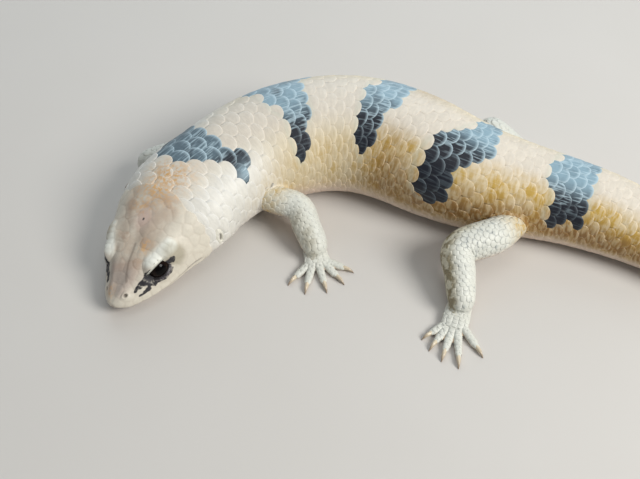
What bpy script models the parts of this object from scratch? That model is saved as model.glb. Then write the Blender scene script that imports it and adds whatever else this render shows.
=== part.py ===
"""Peters' banded skink, life size, lying on its belly with the body bent in an arc.

The origin is on the floor under the middle of the belly. +Z is up, +X runs towards the tail, and the head turns
round to -Y. The body is one loft along a spine, parted into head, jaw, neck, torso and tail. Each leg is in three
parts, cut clear of the body and of each other. Angles round the body start at the animal's left side and rise over
its back.
"""

import math

import bmesh
import bpy
import numpy as np
from mathutils import Matrix, Vector

MM = 0.001

# Gap that two touching pieces keep
GAP = 0.3 * MM

# Spine: distance from the snout tip in mm, and the heading towards the tail in degrees from +X
HEADINGS = (
    (0, 60), (12, 63.5), (24, 62), (33, 55), (42, 48), (52, 42), (64, 27), (76, 14), (88, -5), (100, -23),
    (112, -32), (124, -25), (136, -16), (148, -19), (160, -25), (172, -31), (186, -43), (202, -58), (218, -69),
    (238, -76),
)
BELLY_MIDDLE = 91.0
LENGTH = 238.0
HEAD_LENGTH = 32.0

# Outline: distance from the snout in mm, half width, height of the back, of the underside and of the widest line
OUTLINE = (
    (0, 3.4, 5.8, 2.6, 3.8),
    (4, 5.1, 7.8, 1.3, 4.0),
    (8, 7.5, 10.6, 0.3, 4.8),
    (13, 9.9, 13.6, 0.2, 5.5),
    (20, 12.4, 17.2, 1.0, 7.0),
    (27, 14.9, 20.0, 1.2, 8.4),
    (34, 16.5, 21.8, 1.0, 9.6),
    (40, 16.4, 22.8, 0.6, 10.4),
    (47, 15.7, 23.8, 0.0, 11.2),
    (56, 15.9, 25.2, -0.4, 11.8),
    (70, 16.8, 26.8, -0.7, 12.4),
    (92, 17.4, 27.4, -0.7, 12.6),
    (110, 17.1, 26.6, -0.7, 12.2),
    (124, 15.9, 24.8, -0.6, 11.4),
    (135, 14.4, 22.8, -0.5, 10.5),
    (143, 13.2, 21.5, -0.5, 9.9),
    (152, 12.2, 20.5, -0.5, 9.5),
    (164, 11.3, 19.2, -0.5, 9.0),
    (176, 10.0, 17.2, -0.5, 8.2),
    (190, 8.2, 14.2, -0.4, 6.8),
    (204, 6.0, 10.8, -0.4, 5.2),
    (218, 3.8, 7.2, -0.3, 3.5),
    (230, 2.0, 4.2, -0.2, 2.0),
    (238, 1.0, 2.4, 0.0, 1.2),
)
SNOUT_ROUND = 4.0
TAIL_ROUND = 2.0

# Rings of the face and of the back of the head: first and last distance in mm, and how many
FACE_RINGS = (5.0, 18.0, 15)
REAR_RINGS = (19.6, HEAD_LENGTH - GAP / MM / 2, 7)

# How square the section is above and below its widest line, 2 being an ellipse
SQUARENESS = (
    (0, 2.1, 2.2), (8, 2.0, 2.3), (14, 2.0, 2.6), (30, 2.2, 3.0), (50, 2.15, 2.8), (140, 2.1, 2.8),
    (170, 2.1, 2.4), (238, 2, 2),
)

# The head leans over to the animal's right: distance and lean in degrees, about a line at this height in mm
LEAN = ((0, 7), (24, 7), (44, 0), (238, 0))
LEAN_HEIGHT = 5.0

# Swellings and hollows of the head, both sides: distance, angle, height in mm, reach along in mm and round in
# degrees
SWELLINGS = {
    "brow": (15.4, 35, 1.9, 3.6, 16),
    "side of the snout": (6.0, 32, -0.8, 2.8, 13),
    "snout ridge": (5.5, 62, 0.35, 3.6, 10),
    "crown": (15.0, 90, -0.8, 5.5, 15),
    "nostril rim": (3.0, 36, 0.3, 1.3, 12),
    "lip": (11.0, -16, 0.4, 8.0, 10),
    "temple": (23.0, 38, 0.4, 4.0, 16),
    "jowl": (24.0, -18, 1.2, 6.0, 24),
    "neck fold": (41.0, -12, -0.6, 2.5, 22),
}

# Mouth line on the head's side, as distance from the snout and height in mm
MOUTH = ((-1, 2.4), (2, 2.2), (6, 2.2), (11, 2.7), (16, 3.7), (20, 4.9), (22.3, 4.8), (24, 3.0), (25.6, -2))

# Eye: its middle as distance, out and height in mm; the lids follow the ball and melt into the head over LID_MELT
EYE_AT = (12.8, 6.5, 8.4)
EYE_RADIUS = 3.1
LID_THICKNESS = 0.5
LID_MELT = 0.9
LID_MELT_STARTS = 3
EYE_OPENING = (3.0, 1.75)
EYE_LOOKS_UP = 0.45
OPENING_TAPER = ((7.6, 0.72), (10.2, 1.0), (14.0, 1.35))
NOSTRIL_AT = (2.9, 36)
NOSTRIL_RADIUS = 0.5
EAR_AT = (29.8, 2)
EAR_SIZE = (0.8, 1.5)

# Lengths of the body behind the head: first and last distance from the snout in mm, sides of a ring, ring spacing
LENGTHS = {
    "neck": (HEAD_LENGTH, 47, 40, 3.0),
    "torso_front": (47, 72, 40, 3.5),
    "torso_middle": (72, 108, 40, 3.6),
    "torso_rear": (108, 143, 40, 3.5),
    "tail_base": (143, 171, 32, 3.5),
    "tail_middle": (171, 203, 26, 3.5),
    "tail_tip": (203, LENGTH, 20, 3.5),
}

# Legs, from the root inside the body to the ankle: distance along the spine, out from it to the animal's left,
# height, and the leg's own half width, all in mm. The upper part ends at the bend, the lower part at the ankle
LEGS = {
    "foreleg_left": (
        ("root", 51, 6.0, 8.8, 4.6), ("upper", 54.5, 16.0, 9.2, 4.0), ("bend", 62.0, 22.4, 8.5, 4.0),
        ("lower", 61.2, 27.8, 6.2, 3.9), ("ankle", 59.0, 32.6, 4.0, 3.6),
    ),
    "foreleg_right": (
        ("root", 51, -6.0, 9.5, 5.2), ("upper", 46.0, -14.6, 9.4, 4.2), ("bend", 40.2, -19.0, 8.6, 4.1),
        ("lower", 41.6, -20.6, 6.0, 3.6), ("ankle", 43.6, -21.0, 3.6, 3.1),
    ),
    "hindleg_left": (
        ("root", 147, 8.0, 8.4, 2.4), ("upper", 136.2, 18.3, 9.6, 4.8), ("bend", 129.6, 25.7, 9.3, 4.7),
        ("lower", 130.8, 32.2, 6.8, 4.1), ("ankle", 132.0, 37.6, 4.2, 3.6),
    ),
    "hindleg_right": (
        ("root", 143, -5.0, 8.8, 6.0), ("upper", 136, -13.4, 9.6, 5.0), ("bend", 126.6, -18.2, 10.9, 4.8),
        ("lower", 130.5, -20.0, 7.2, 3.9), ("ankle", 135.0, -20.0, 4.2, 3.3),
    ),
}

# Feet: heading of the middle toe in degrees from +X, palm length and half width, toe lengths, spread of the toes
FEET = {
    "foreleg_left": ("hand_left", -78, 5.2, 3.5, (3.4, 4.6, 5.4, 5.4, 3.9), (54, 27, 2, -24, -52)),
    "foreleg_right": ("hand_right", -118, 5.2, 3.3, (3.4, 4.6, 5.4, 5.4, 3.9), (-34, -18, -2, 14, 32)),
    "hindleg_left": ("foot_left", -108, 7.4, 3.6, (3.6, 5.2, 6.8, 7.8, 5.0), (-38, -20, -3, 14, 44)),
    "hindleg_right": ("foot_right", -21, 7.4, 3.4, (3.6, 5.2, 6.8, 7.8, 5.0), (26, 13, 2, -11, -32)),
}
TOE_RADIUS = 1.15
TOE_FLATNESS = 0.72
CLAW_LENGTH = 2.6
CLAW_RADIUS = 0.55
TOE_ROOT = 1.6
CLAW_ROOT = 0.7

# Toe: share of its length, height over the toe's own half height, half width over TOE_RADIUS
TOE_SHAPE = ((0.4, 1.1, 1.04), (0.8, 1.0, 0.95), (1.0, 0.96, 0.62))
TOE_START = (1.45, 1.1)

# Claw: share of its length past the toe's tip, height over the toe's own half height, half width over CLAW_RADIUS
CLAW_SHAPE = ((0.3, 1.15, 0.9), (0.7, 0.75, 0.55), (1.0, 0.14, 0.12))
CLAW_START = (0.95, 1.0)

# Palm or sole, from the heel forward: share of its length, half width over the palm's, height over width
PALM_SHAPE = (
    (-0.4, 0.5, 0.56), (-0.2, 0.82, 0.5), (0.4, 0.98, 0.42), (0.75, 1.0, 0.38), (1.0, 0.88, 0.34),
    (1.2, 0.45, 0.5),
)
TOE_SPACING = 0.98

# The body that clears a leg: reach past its joints in mm, sides, ring spacing
BODY_CUTTER = (12, 48, 2.0)

# Where the lower leg runs on into the foot: ahead of the ankle in mm, height, half width over the ankle's
INSTEP = ((1.9, 2.2, 0.72), (3.6, 1.3, 0.36))

# Sides of the rings of a leg, palm, toe and claw, and rings along the upper leg, the lower leg with the foot, and
# the palm
LEG_SIDES, PALM_SIDES, TOE_SIDES, CLAW_SIDES = 14, 14, 8, 6
UPPER_RINGS, LOWER_RINGS, PALM_RINGS = 10, 18, 9

# Turns in radians at which more rings close a leg in a half ball
END_TURNS = (0.5, 0.95, 1.3, 1.5)

# Sides of the head's rings, of a ring looked up for one point, of the eyes' balls, the ears and the lids' opening
HEAD_SIDES, LOOKUP_SIDES, BALL_SIDES, EAR_SIDES, OPENING_SIDES = 56, 720, 16, 12, 18

# The looked-up ring's direction is taken over this many of its points to each side and this far along, in mm
LOOKUP_ASIDE = 3
LOOKUP_AHEAD = 0.4

# First of the snout's rings as a turn in radians, and how many they are
SNOUT_RINGS = (0.18, 6)

# Smallest share of the section at a rounded tip
LEAST_ROUND = 0.04

# Opening between the lids: how pointed its corners are, 1 being an ellipse
OPENING_POINTED = 1.25

# Nostril's drill: radii at the inner and outer end as shares of the nostril's, length and shift outwards in mm
NOSTRIL_DRILL = (0.6, 1.3, 2.0, 0.1)
NOSTRIL_SIDES = 10

# Cup of the ear: depth in mm, and how far its middle lies ahead of the outer opening
EAR_DEPTH = 1.6
EAR_AHEAD = 0.9

# Half width of the slab that parts the jaw from the head, and how far it runs past the snout and under the floor
SLAB_HALF_WIDTH = 30
SLAB_MARGIN = 8

# Points this near after a cut are one, in mm
CUT_WELD = 0.002

# Angle between two faces above which their edge is drawn sharp, in degrees
SHARP_EDGE = 50

# Roughness of the coat and of the eyes
DRY_FINISH = 0.4
WET_FINISH = 0.08

COLOURS = {
    "cream": (0.74, 0.67, 0.54),
    "eye": (0.01, 0.008, 0.007),
    "pale": (0.80, 0.78, 0.68),
}


def smooth_through(table, distance):
    """Each column of the table at a distance, on smooth curves that don't overshoot."""
    rows = np.array(table, float)
    at, values = rows[:, 0], rows[:, 1:]
    step = np.diff(at)[:, None]
    slope = np.diff(values, axis=0) / step
    inner = np.where(slope[:-1] * slope[1:] > 0, 2 * slope[:-1] * slope[1:] / (slope[:-1] + slope[1:] + 1e-12), 0)
    tangent = np.vstack([slope[:1], inner, slope[-1:]])
    distance = np.clip(np.asarray(distance, float), at[0], at[-1])
    k = np.clip(np.searchsorted(at, distance, side="right") - 1, 0, len(at) - 2)
    h = step[k, 0]
    t = (distance - at[k]) / h
    t, h = t[..., None], h[..., None]
    return (
        (2 * t**3 - 3 * t**2 + 1) * values[k]
        + (t**3 - 2 * t**2 + t) * h * tangent[k]
        + (3 * t**2 - 2 * t**3) * values[k + 1]
        + (t**3 - t**2) * h * tangent[k + 1]
    )


PATH_STEP = 0.25
PATH_AT = np.arange(0, LENGTH + PATH_STEP, PATH_STEP)
PATH_HEADING = np.radians(smooth_through(HEADINGS, PATH_AT)[:, 0])


def spine_path():
    """The spine's place on the floor at each step, with the middle of the belly at the origin."""
    steps = PATH_STEP * np.column_stack([np.cos(PATH_HEADING), np.sin(PATH_HEADING)])
    points = np.vstack([[0, 0], np.cumsum((steps[1:] + steps[:-1]) / 2, axis=0)])
    middle = [np.interp(BELLY_MIDDLE, PATH_AT, points[:, i]) for i in (0, 1)]
    return points - middle


PATH = spine_path()


def spine_at(distance):
    """(place on the floor, direction to the animal's left) at a distance from the snout, in mm."""
    x, y, heading = (np.interp(distance, PATH_AT, v) for v in (PATH[:, 0], PATH[:, 1], PATH_HEADING))
    return np.array([x, y]), np.array([np.sin(heading), -np.cos(heading)])


def leant(distance, out, height):
    """A place out and up from the spine, turned by the lean of the head."""
    lean = math.radians(float(smooth_through(LEAN, distance)[0]))
    up = height - LEAN_HEIGHT
    return out * math.cos(lean) - up * math.sin(lean), LEAN_HEIGHT + out * math.sin(lean) + up * math.cos(lean)


def beside_spine(distance, out, height):
    """The point at a distance along the spine, out to the animal's left and up, in mm."""
    place, left = spine_at(distance)
    out, height = leant(distance, out, height)
    return np.array([place[0] + left[0] * out, place[1] + left[1] * out, height])


def end_rounding(distance):
    """Shrinks the section to a round tip at the snout and at the tail's end."""
    snout = np.clip(distance / SNOUT_ROUND, 0, 1)
    tail = np.clip((LENGTH - distance) / TAIL_ROUND, 0, 1)
    return math.sqrt(1 - (1 - snout) ** 2) * math.sqrt(1 - (1 - tail) ** 2)


def swelling_at(distance, angles):
    """How far the head's swellings lift the skin at each angle, in mm."""
    folded = np.where(np.abs(angles) > 90, np.sign(angles) * 180 - angles, angles)
    total = np.zeros_like(angles)
    for at, angle, height, along, around in SWELLINGS.values():
        total += height * np.exp(-(((distance - at) / along) ** 2) - ((folded - angle) / around) ** 2)
    return total


def lids_reach(distance, angles, widest):
    """How far out from the section's middle the lids over the eyes reach at each angle, or 0, in mm."""
    folded = np.radians(np.where(np.abs(angles) > 90, np.sign(angles) * 180 - angles, angles))
    ball = EYE_RADIUS + GAP / MM + LID_THICKNESS
    slice_radius = ball**2 - (distance - EYE_AT[0]) ** 2
    towards = EYE_AT[1] * np.cos(folded) + (EYE_AT[2] - widest) * np.sin(folded)
    aside = EYE_AT[1] ** 2 + (EYE_AT[2] - widest) ** 2 - towards**2
    depth = slice_radius - aside
    return np.where(depth > 0, towards + np.sqrt(np.maximum(depth, 0)), 0)


def section(distance, sides, grow=0.0):
    """A ring of points round the body, in mm, from the left side over the back."""
    half, back, under, widest = smooth_through(OUTLINE, distance)
    above, below = smooth_through(SQUARENESS, distance)
    angles = np.linspace(-180, 180, sides, endpoint=False)
    cos, sin = np.cos(np.radians(angles)), np.sin(np.radians(angles))
    rise = np.where(sin > 0, back - widest, widest - under)
    power = np.where(sin > 0, above, below)
    radius = (np.abs(cos / half) ** power + np.abs(sin / rise) ** power) ** (-1 / power)
    shrink = max(end_rounding(distance), LEAST_ROUND)
    radius = (radius + swelling_at(distance, angles)) * shrink
    beyond = lids_reach(distance, angles, widest) - radius
    melt = LID_MELT * np.logaddexp(0, beyond / LID_MELT * 2) / 2
    radius = radius + melt * (beyond > -LID_MELT_STARTS * LID_MELT) + grow
    place, left = spine_at(distance)
    out, height = leant(distance, cos * radius, widest + sin * radius)
    return np.column_stack([place[0] + left[0] * out, place[1] + left[1] * out, np.maximum(height, -grow)])


def add_material(obj, colour, roughness=DRY_FINISH):
    """Gives the object a plain material of its own."""
    material = bpy.data.materials.new(obj.name)
    material.use_nodes = True
    shader = material.node_tree.nodes["Principled BSDF"]
    shader.inputs["Base Color"].default_value = (*COLOURS[colour], 1)
    shader.inputs["Roughness"].default_value = roughness
    shader.inputs["Metallic"].default_value = 0
    obj.data.materials.clear()
    obj.data.materials.append(material)


def new_object(name, mesh_maker):
    """An object in the skink's collection with the mesh that the bmesh ends as."""
    mesh = bpy.data.meshes.new(name)
    bmesh.ops.recalc_face_normals(mesh_maker, faces=mesh_maker.faces)
    mesh_maker.to_mesh(mesh)
    mesh_maker.free()
    obj = bpy.data.objects.new(name, mesh)
    bpy.data.collections["skink"].objects.link(obj)
    return obj


def loft(name, rings):
    """A closed body through rings of points in mm, with a flat face at each end."""
    maker = bmesh.new()
    loops = [[maker.verts.new(Vector(point) * MM) for point in ring] for ring in rings]
    for first, second in zip(loops, loops[1:]):
        for i, vert in enumerate(first):
            j = (i + 1) % len(first)
            maker.faces.new((vert, first[j], second[j], second[i]))
    for end in (loops[0], loops[-1]):
        maker.faces.new(end)
    return new_object(name, maker)


def combine(obj, others, operation):
    """Joins the others to the object, or cuts them from it, removes them and keeps the largest closed surface."""
    tools = bpy.data.collections.new("tools")
    bpy.context.scene.collection.children.link(tools)
    for other in others:
        for holder in other.users_collection:
            holder.objects.unlink(other)
        tools.objects.link(other)
    boolean = obj.modifiers.new(operation.lower(), "BOOLEAN")
    boolean.operation = operation
    boolean.operand_type = "COLLECTION"
    boolean.collection = tools
    boolean.solver = "EXACT"
    bpy.context.view_layer.update()
    result = bpy.data.meshes.new_from_object(obj.evaluated_get(bpy.context.evaluated_depsgraph_get()))
    obj.modifiers.clear()
    obj.data = result
    for other in others:
        bpy.data.objects.remove(other)
    bpy.data.collections.remove(tools)
    clean_cut(obj)
    keep_largest(obj)


def clean_cut(obj):
    """Turns a cut mesh into triangles and closes the hair-thin ones that the cut left."""
    maker = bmesh.new()
    maker.from_mesh(obj.data)
    bmesh.ops.triangulate(maker, faces=maker.faces)
    bmesh.ops.remove_doubles(maker, verts=maker.verts, dist=CUT_WELD * MM)
    bmesh.ops.dissolve_degenerate(maker, edges=maker.edges, dist=CUT_WELD * MM)
    bmesh.ops.triangulate(maker, faces=maker.faces)
    maker.to_mesh(obj.data)
    maker.free()


def vertex_groups_of(obj):
    """The numbers of the vertices of each closed surface in the object."""
    near = {vert.index: [] for vert in obj.data.vertices}
    for edge in obj.data.edges:
        first, second = edge.vertices
        near[first].append(second)
        near[second].append(first)
    left, groups = set(near), []
    while left:
        group, edge = set(), {left.pop()}
        while edge:
            group |= edge
            edge = {other for vert in edge for other in near[vert]} - group
        left -= group
        groups.append(group)
    return groups


def keep_largest(obj):
    """Leaves only the object's largest closed surface."""
    largest = max(vertex_groups_of(obj), key=len)
    maker = bmesh.new()
    maker.from_mesh(obj.data)
    bmesh.ops.delete(maker, geom=[v for v in maker.verts if v.index not in largest], context="VERTS")
    maker.to_mesh(obj.data)
    maker.free()


def body_rings(start, end, sides, spacing, grow=0.0):
    """Rings round the body from one distance to another."""
    count = max(2, round((end - start) / spacing) + 1)
    return [section(at, sides, grow) for at in np.linspace(start, end, count)]


def head_rings(sides):
    """Rings of the head, close together at the snout and the eyes."""
    snout = SNOUT_ROUND * (1 - np.cos(np.linspace(SNOUT_RINGS[0], math.pi / 2, SNOUT_RINGS[1])))
    face = np.linspace(*FACE_RINGS)
    rear = np.linspace(*REAR_RINGS)
    return [section(at, sides) for at in (*snout, *face, *rear)]


def make_length(name):
    """One length of the neck, torso or tail."""
    start, end, sides, spacing = LENGTHS[name]
    margin = GAP / MM / 2
    last = end if end == LENGTH else end - margin
    obj = loft(name, body_rings(start + margin, last, sides, spacing))
    add_material(obj, "cream")
    return obj


def side_cutter(name, outline):
    """A slab across the head whose side view is the outline, as distances from the snout and heights in mm."""
    left = np.array([*spine_at(0)[1], 0])
    ahead = np.array([left[1], -left[0], 0])
    rings = []
    for out in (-SLAB_HALF_WIDTH, SLAB_HALF_WIDTH):
        rings.append([beside_spine(0, 0, height) - ahead * along + left * out for along, height in outline])
    return loft(name, rings)


def under_mouth(shift):
    """The outline of all that lies under the mouth line, which is shifted up by so much, in mm."""
    line = np.array(MOUTH, float)
    direction = np.gradient(line, axis=0)
    normal = np.column_stack([-direction[:, 1], direction[:, 0]])
    line = line + shift * normal / np.linalg.norm(normal, axis=1)[:, None]
    corners = ((line[-1][0], -SLAB_MARGIN), (-SLAB_MARGIN, -SLAB_MARGIN), (-SLAB_MARGIN, line[0][1]))
    return [*map(tuple, line), *corners]


def ball(name, centre, radius, segments=BALL_SIDES, stretch=(1, 1, 1)):
    """An ellipsoid at a point in mm, stretched along the head's own axes."""
    maker = bmesh.new()
    bmesh.ops.create_uvsphere(maker, u_segments=segments, v_segments=segments * 2 // 3, radius=radius * MM)
    heading = PATH_HEADING[0]
    place = Matrix.Translation(Vector(centre) * MM) @ Matrix.Rotation(heading, 4, "Z")
    maker.transform(place @ Matrix.Diagonal((*stretch, 1)))
    return new_object(name, maker)


def lid_opening(name, side):
    """The almond between the lids, cut from the outside in to the eye."""
    half_long, half_high = EYE_OPENING
    outline = []
    for turn in np.linspace(0, 2 * math.pi, OPENING_SIDES, endpoint=False):
        narrow = abs(math.sin(turn)) ** OPENING_POINTED * np.sign(math.sin(turn))
        outline.append((half_long * math.cos(turn), half_high * narrow))
    rings = []
    for out, share in OPENING_TAPER:
        rise = (out - OPENING_TAPER[0][0]) * EYE_LOOKS_UP
        rings.append([beside_spine(EYE_AT[0] + at * share, side * out, EYE_AT[2] + height * share + rise)
                      for at, height in outline])
    return loft(name, rings)


def skin_point(distance, angle, sides=LOOKUP_SIDES):
    """(point on the body, direction straight out of it) at a distance and an angle round it."""
    ring = section(distance, sides)
    ahead = section(distance + LOOKUP_AHEAD, sides)
    i = round((angle + 180) / 360 * sides) % sides
    along = ahead[i] - ring[i]
    around = ring[(i + LOOKUP_ASIDE) % sides] - ring[i - LOOKUP_ASIDE]
    out = np.cross(along, around)
    out = out / np.linalg.norm(out)
    middle = ring.mean(axis=0)
    return ring[i], out if out @ (ring[i] - middle) > 0 else -out


def nostril_cutter(name, angle):
    """A blunt drill that leaves a nostril."""
    at, out = skin_point(NOSTRIL_AT[0], angle)
    inner, outer, length, shift = NOSTRIL_DRILL
    maker = bmesh.new()
    bmesh.ops.create_cone(
        maker, cap_ends=True, segments=NOSTRIL_SIDES, radius1=NOSTRIL_RADIUS * inner * MM,
        radius2=NOSTRIL_RADIUS * outer * MM, depth=length * MM,
    )
    turn = Vector(out).to_track_quat("Z", "Y").to_matrix().to_4x4()
    maker.transform(Matrix.Translation(Vector(at + out * shift) * MM) @ turn)
    return new_object(name, maker)


def ear_cutter(name, angle):
    """An upright slit that leaves the cup of an ear."""
    at, _ = skin_point(EAR_AT[0] - EAR_AHEAD, angle)
    long, high = EAR_SIZE
    return ball(name, at, 1.0, EAR_SIDES, (long, EAR_DEPTH, high))


def make_head():
    """The head above and behind the mouth, and the jaw under it."""
    whole = loft("head", head_rings(HEAD_SIDES))
    cutters = []
    for side in (1, -1):
        centre = beside_spine(EYE_AT[0], side * EYE_AT[1], EYE_AT[2])
        cutters.append(ball("socket", centre, EYE_RADIUS + GAP / MM))
        cutters.append(lid_opening("opening", side))
        cutters.append(nostril_cutter("nostril", 90 - side * (90 - NOSTRIL_AT[1])))
        cutters.append(ear_cutter("ear", 90 - side * (90 - EAR_AT[1])))
    combine(whole, cutters, "DIFFERENCE")
    jaw = bpy.data.objects.new("jaw", whole.data.copy())
    bpy.data.collections["skink"].objects.link(jaw)
    combine(whole, [side_cutter("under", under_mouth(GAP / MM / 2))], "DIFFERENCE")
    combine(jaw, [side_cutter("under", under_mouth(-GAP / MM / 2))], "INTERSECT")
    for obj in (whole, jaw):
        add_material(obj, "cream")
    for side, name in ((1, "eye_left"), (-1, "eye_right")):
        centre = beside_spine(EYE_AT[0], side * EYE_AT[1], EYE_AT[2])
        eye = ball(name, centre, EYE_RADIUS)
        add_material(eye, "eye", WET_FINISH)


def curve_through(points, count):
    """Points evenly spaced on a smooth curve through the given rows."""
    rows = np.array(points, float)
    reach = np.concatenate([[0], np.cumsum(np.linalg.norm(np.diff(rows[:, :3], axis=0), axis=1))])
    ends = np.vstack([2 * rows[0] - rows[1], rows, 2 * rows[-1] - rows[-2]])
    found = []
    for at in np.linspace(0, reach[-1], count):
        k = min(int(np.searchsorted(reach, at, side="right")) - 1, len(rows) - 2)
        t = (at - reach[k]) / (reach[k + 1] - reach[k])
        a, b, c, d = ends[k : k + 4]
        bent = (2 * a - 5 * b + 4 * c - d) * t**2 + (3 * b - a - 3 * c + d) * t**3
        found.append((2 * b + (c - a) * t + bent) / 2)
    return np.array(found)


def rounded_end(rows):
    """The rows of a tube with more that close its far end in a half ball."""
    ahead = rows[-1, :3] - rows[-2, :3]
    ahead = ahead / np.linalg.norm(ahead)
    half = rows[-1, 3]
    more = [(*(rows[-1, :3] + ahead * half * math.sin(turn)), half * math.cos(turn)) for turn in END_TURNS]
    return np.vstack([rows, more])


def tube_rings(rows, sides, flatness=None, grow=0.0):
    """Rings square to a path whose rows are place and half width. Flatness gives each ring's height over width."""
    flatness = np.ones(len(rows)) if flatness is None else flatness
    direction = np.gradient(rows[:, :3], axis=0)
    rings = []
    for row, ahead, flat in zip(rows, direction, flatness):
        ahead = ahead / np.linalg.norm(ahead)
        across = np.cross(ahead, (0, 0, 1))
        across = across / max(np.linalg.norm(across), 1e-6)
        up = np.cross(across, ahead)
        turn = np.linspace(0, 2 * math.pi, sides, endpoint=False)[:, None]
        ring = row[:3] + (row[3] + grow) * (np.cos(turn) * across + flat * np.sin(turn) * up)
        ring[:, 2] = np.maximum(ring[:, 2], -grow)
        rings.append(ring)
    return rings


def make_toe(foot, start, heading, length, number):
    """A toe that lies on the floor, and its claw."""
    ahead = np.array([math.cos(heading), math.sin(heading), 0])
    height = TOE_RADIUS * TOE_FLATNESS
    toe_shape = [(-TOE_ROOT, *TOE_START)] + [(share * length, up, half) for share, up, half in TOE_SHAPE]
    claw_shape = [(length - CLAW_ROOT, *CLAW_START)]
    claw_shape += [(length + share * CLAW_LENGTH, up, half) for share, up, half in CLAW_SHAPE]
    pieces = []
    for kind, radius, shape, sides, flat in (
        ("toe", TOE_RADIUS, toe_shape, TOE_SIDES, TOE_FLATNESS),
        ("claw", CLAW_RADIUS, claw_shape, CLAW_SIDES, 1.0),
    ):
        rows = np.array([(*(start + ahead * along)[:2], height * up, radius * half) for along, up, half in shape])
        pieces.append(loft(f"{foot}_{kind}_{number}", tube_rings(rows, sides, np.full(len(rows), flat))))
    return pieces


def make_palm(leg, ankle):
    """The palm or sole, which lies flat on the floor, and its toes and claws."""
    name, heading, length, half, toes, spread = FEET[leg]
    heading = math.radians(heading)
    ahead = np.array([math.cos(heading), math.sin(heading), 0])
    across = np.array([-ahead[1], ahead[0], 0])
    heel = np.array([ankle[0], ankle[1], 0])
    rows = []
    for along, share, flat in PALM_SHAPE:
        rows.append((*(heel + ahead * along * length)[:2], half * share * flat, half * share, flat))
    path = curve_through(rows, PALM_RINGS)
    pieces = [loft(name + "_palm", tube_rings(path[:, :4], PALM_SIDES, path[:, 4]))]
    for number, (reach, turn) in enumerate(zip(toes, spread), 1):
        aside = half * TOE_SPACING * math.sin(math.radians(turn))
        root = heel + ahead * (length - TOE_ROOT / 2) + across * aside
        pieces += make_toe(name, root, heading + math.radians(turn), reach + TOE_ROOT, number)
    return ahead, pieces


def make_leg(name):
    """One leg in three parts. Each is cut clear of the body and of the part that it grows from."""
    rows = [(*beside_spine(at, out, height), half) for _, at, out, height, half in LEGS[name]]
    ahead, foot_pieces = make_palm(name, rows[-1])
    heel = np.array([*rows[-1][:2], 0])
    ankle_at, ankle_half = rows[-1][:3], rows[-1][3]
    for along, height, share in INSTEP:
        rows.append((*(heel + ahead * along)[:2], height, ankle_half * share))
    upper = rounded_end(curve_through(rows[:3], UPPER_RINGS))
    path = curve_through(rows[2:], LOWER_RINGS)
    ankle = int(np.argmin(np.linalg.norm(path[:, :3] - ankle_at, axis=1)))
    lower = rounded_end(path[: ankle + 1])
    upper_part = loft(name + "_upper", tube_rings(upper, LEG_SIDES))
    lower_part = loft(name + "_lower", tube_rings(lower, LEG_SIDES))
    foot = loft(FEET[name][0], tube_rings(path[ankle - 1 :], LEG_SIDES))
    combine(foot, foot_pieces, "UNION")
    beside = [joint[1] for joint in LEGS[name]]
    body = body_rings(min(beside) - BODY_CUTTER[0], max(beside) + BODY_CUTTER[0], *BODY_CUTTER[1:], GAP / MM)
    around_upper = tube_rings(upper, LEG_SIDES, grow=GAP / MM)
    around_lower = tube_rings(lower, LEG_SIDES, grow=GAP / MM)
    clear_of = {
        upper_part: [body],
        lower_part: [body, around_upper],
        foot: [body, around_upper, around_lower],
    }
    for part, shapes in clear_of.items():
        for shape in shapes:
            combine(part, [loft("clear", shape)], "DIFFERENCE")
        add_material(part, "pale")


def main():
    """Clears the scene and makes the head, the lengths of the body and the legs."""
    for obj in list(bpy.data.objects):
        bpy.data.objects.remove(obj)
    bpy.context.scene.collection.children.link(bpy.data.collections.new("skink"))
    make_head()
    for name in LENGTHS:
        make_length(name)
    for leg in LEGS:
        make_leg(leg)
    for obj in bpy.data.collections["skink"].objects:
        obj.data.shade_smooth()
        obj.data.set_sharp_from_angle(angle=math.radians(SHARP_EDGE))


main()
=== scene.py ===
"""Peters' banded skink: the finished looks of the museum model.

A smooth skin lies inside the solids by the depth of the scales. The scales lie over it, each a closed plate
that bends with the body. The shields of the head, the lids, the ears, the eyes and the claws are pieces of
their own. Tables and sheets hold mm, and a mesh turns them to metres as it is made. Angles round the body
start at the animal's left side and rise over its back.
"""

import math

import bmesh
import bpy
import numpy as np
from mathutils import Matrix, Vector
from mathutils.bvhtree import BVHTree
from mathutils.kdtree import KDTree


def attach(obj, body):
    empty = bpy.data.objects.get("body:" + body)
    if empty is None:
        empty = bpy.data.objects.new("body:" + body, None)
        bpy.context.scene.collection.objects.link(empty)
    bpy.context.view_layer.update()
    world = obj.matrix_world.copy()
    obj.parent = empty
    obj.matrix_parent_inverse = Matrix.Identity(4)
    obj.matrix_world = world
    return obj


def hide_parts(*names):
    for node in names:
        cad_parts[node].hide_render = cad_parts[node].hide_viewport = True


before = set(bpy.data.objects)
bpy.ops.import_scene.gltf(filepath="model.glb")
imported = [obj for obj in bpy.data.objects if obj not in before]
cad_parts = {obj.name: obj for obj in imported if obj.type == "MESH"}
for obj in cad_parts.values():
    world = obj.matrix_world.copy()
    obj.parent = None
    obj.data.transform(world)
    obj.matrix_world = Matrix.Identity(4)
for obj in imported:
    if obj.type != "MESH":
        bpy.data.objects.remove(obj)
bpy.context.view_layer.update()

MM = 0.001
draw = np.random.default_rng(7)

# Spine: distance from the snout tip in mm, and the heading towards the tail in degrees from +X
HEADINGS = (
    (0, 60), (12, 63.5), (24, 62), (33, 55), (42, 48), (52, 42), (64, 27), (76, 14), (88, -5), (100, -23),
    (112, -32), (124, -25), (136, -16), (148, -19), (160, -25), (172, -31), (186, -43), (202, -58),
    (218, -69), (238, -76),
)
BELLY_MIDDLE = 91.0
LENGTH = 238.0

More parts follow.
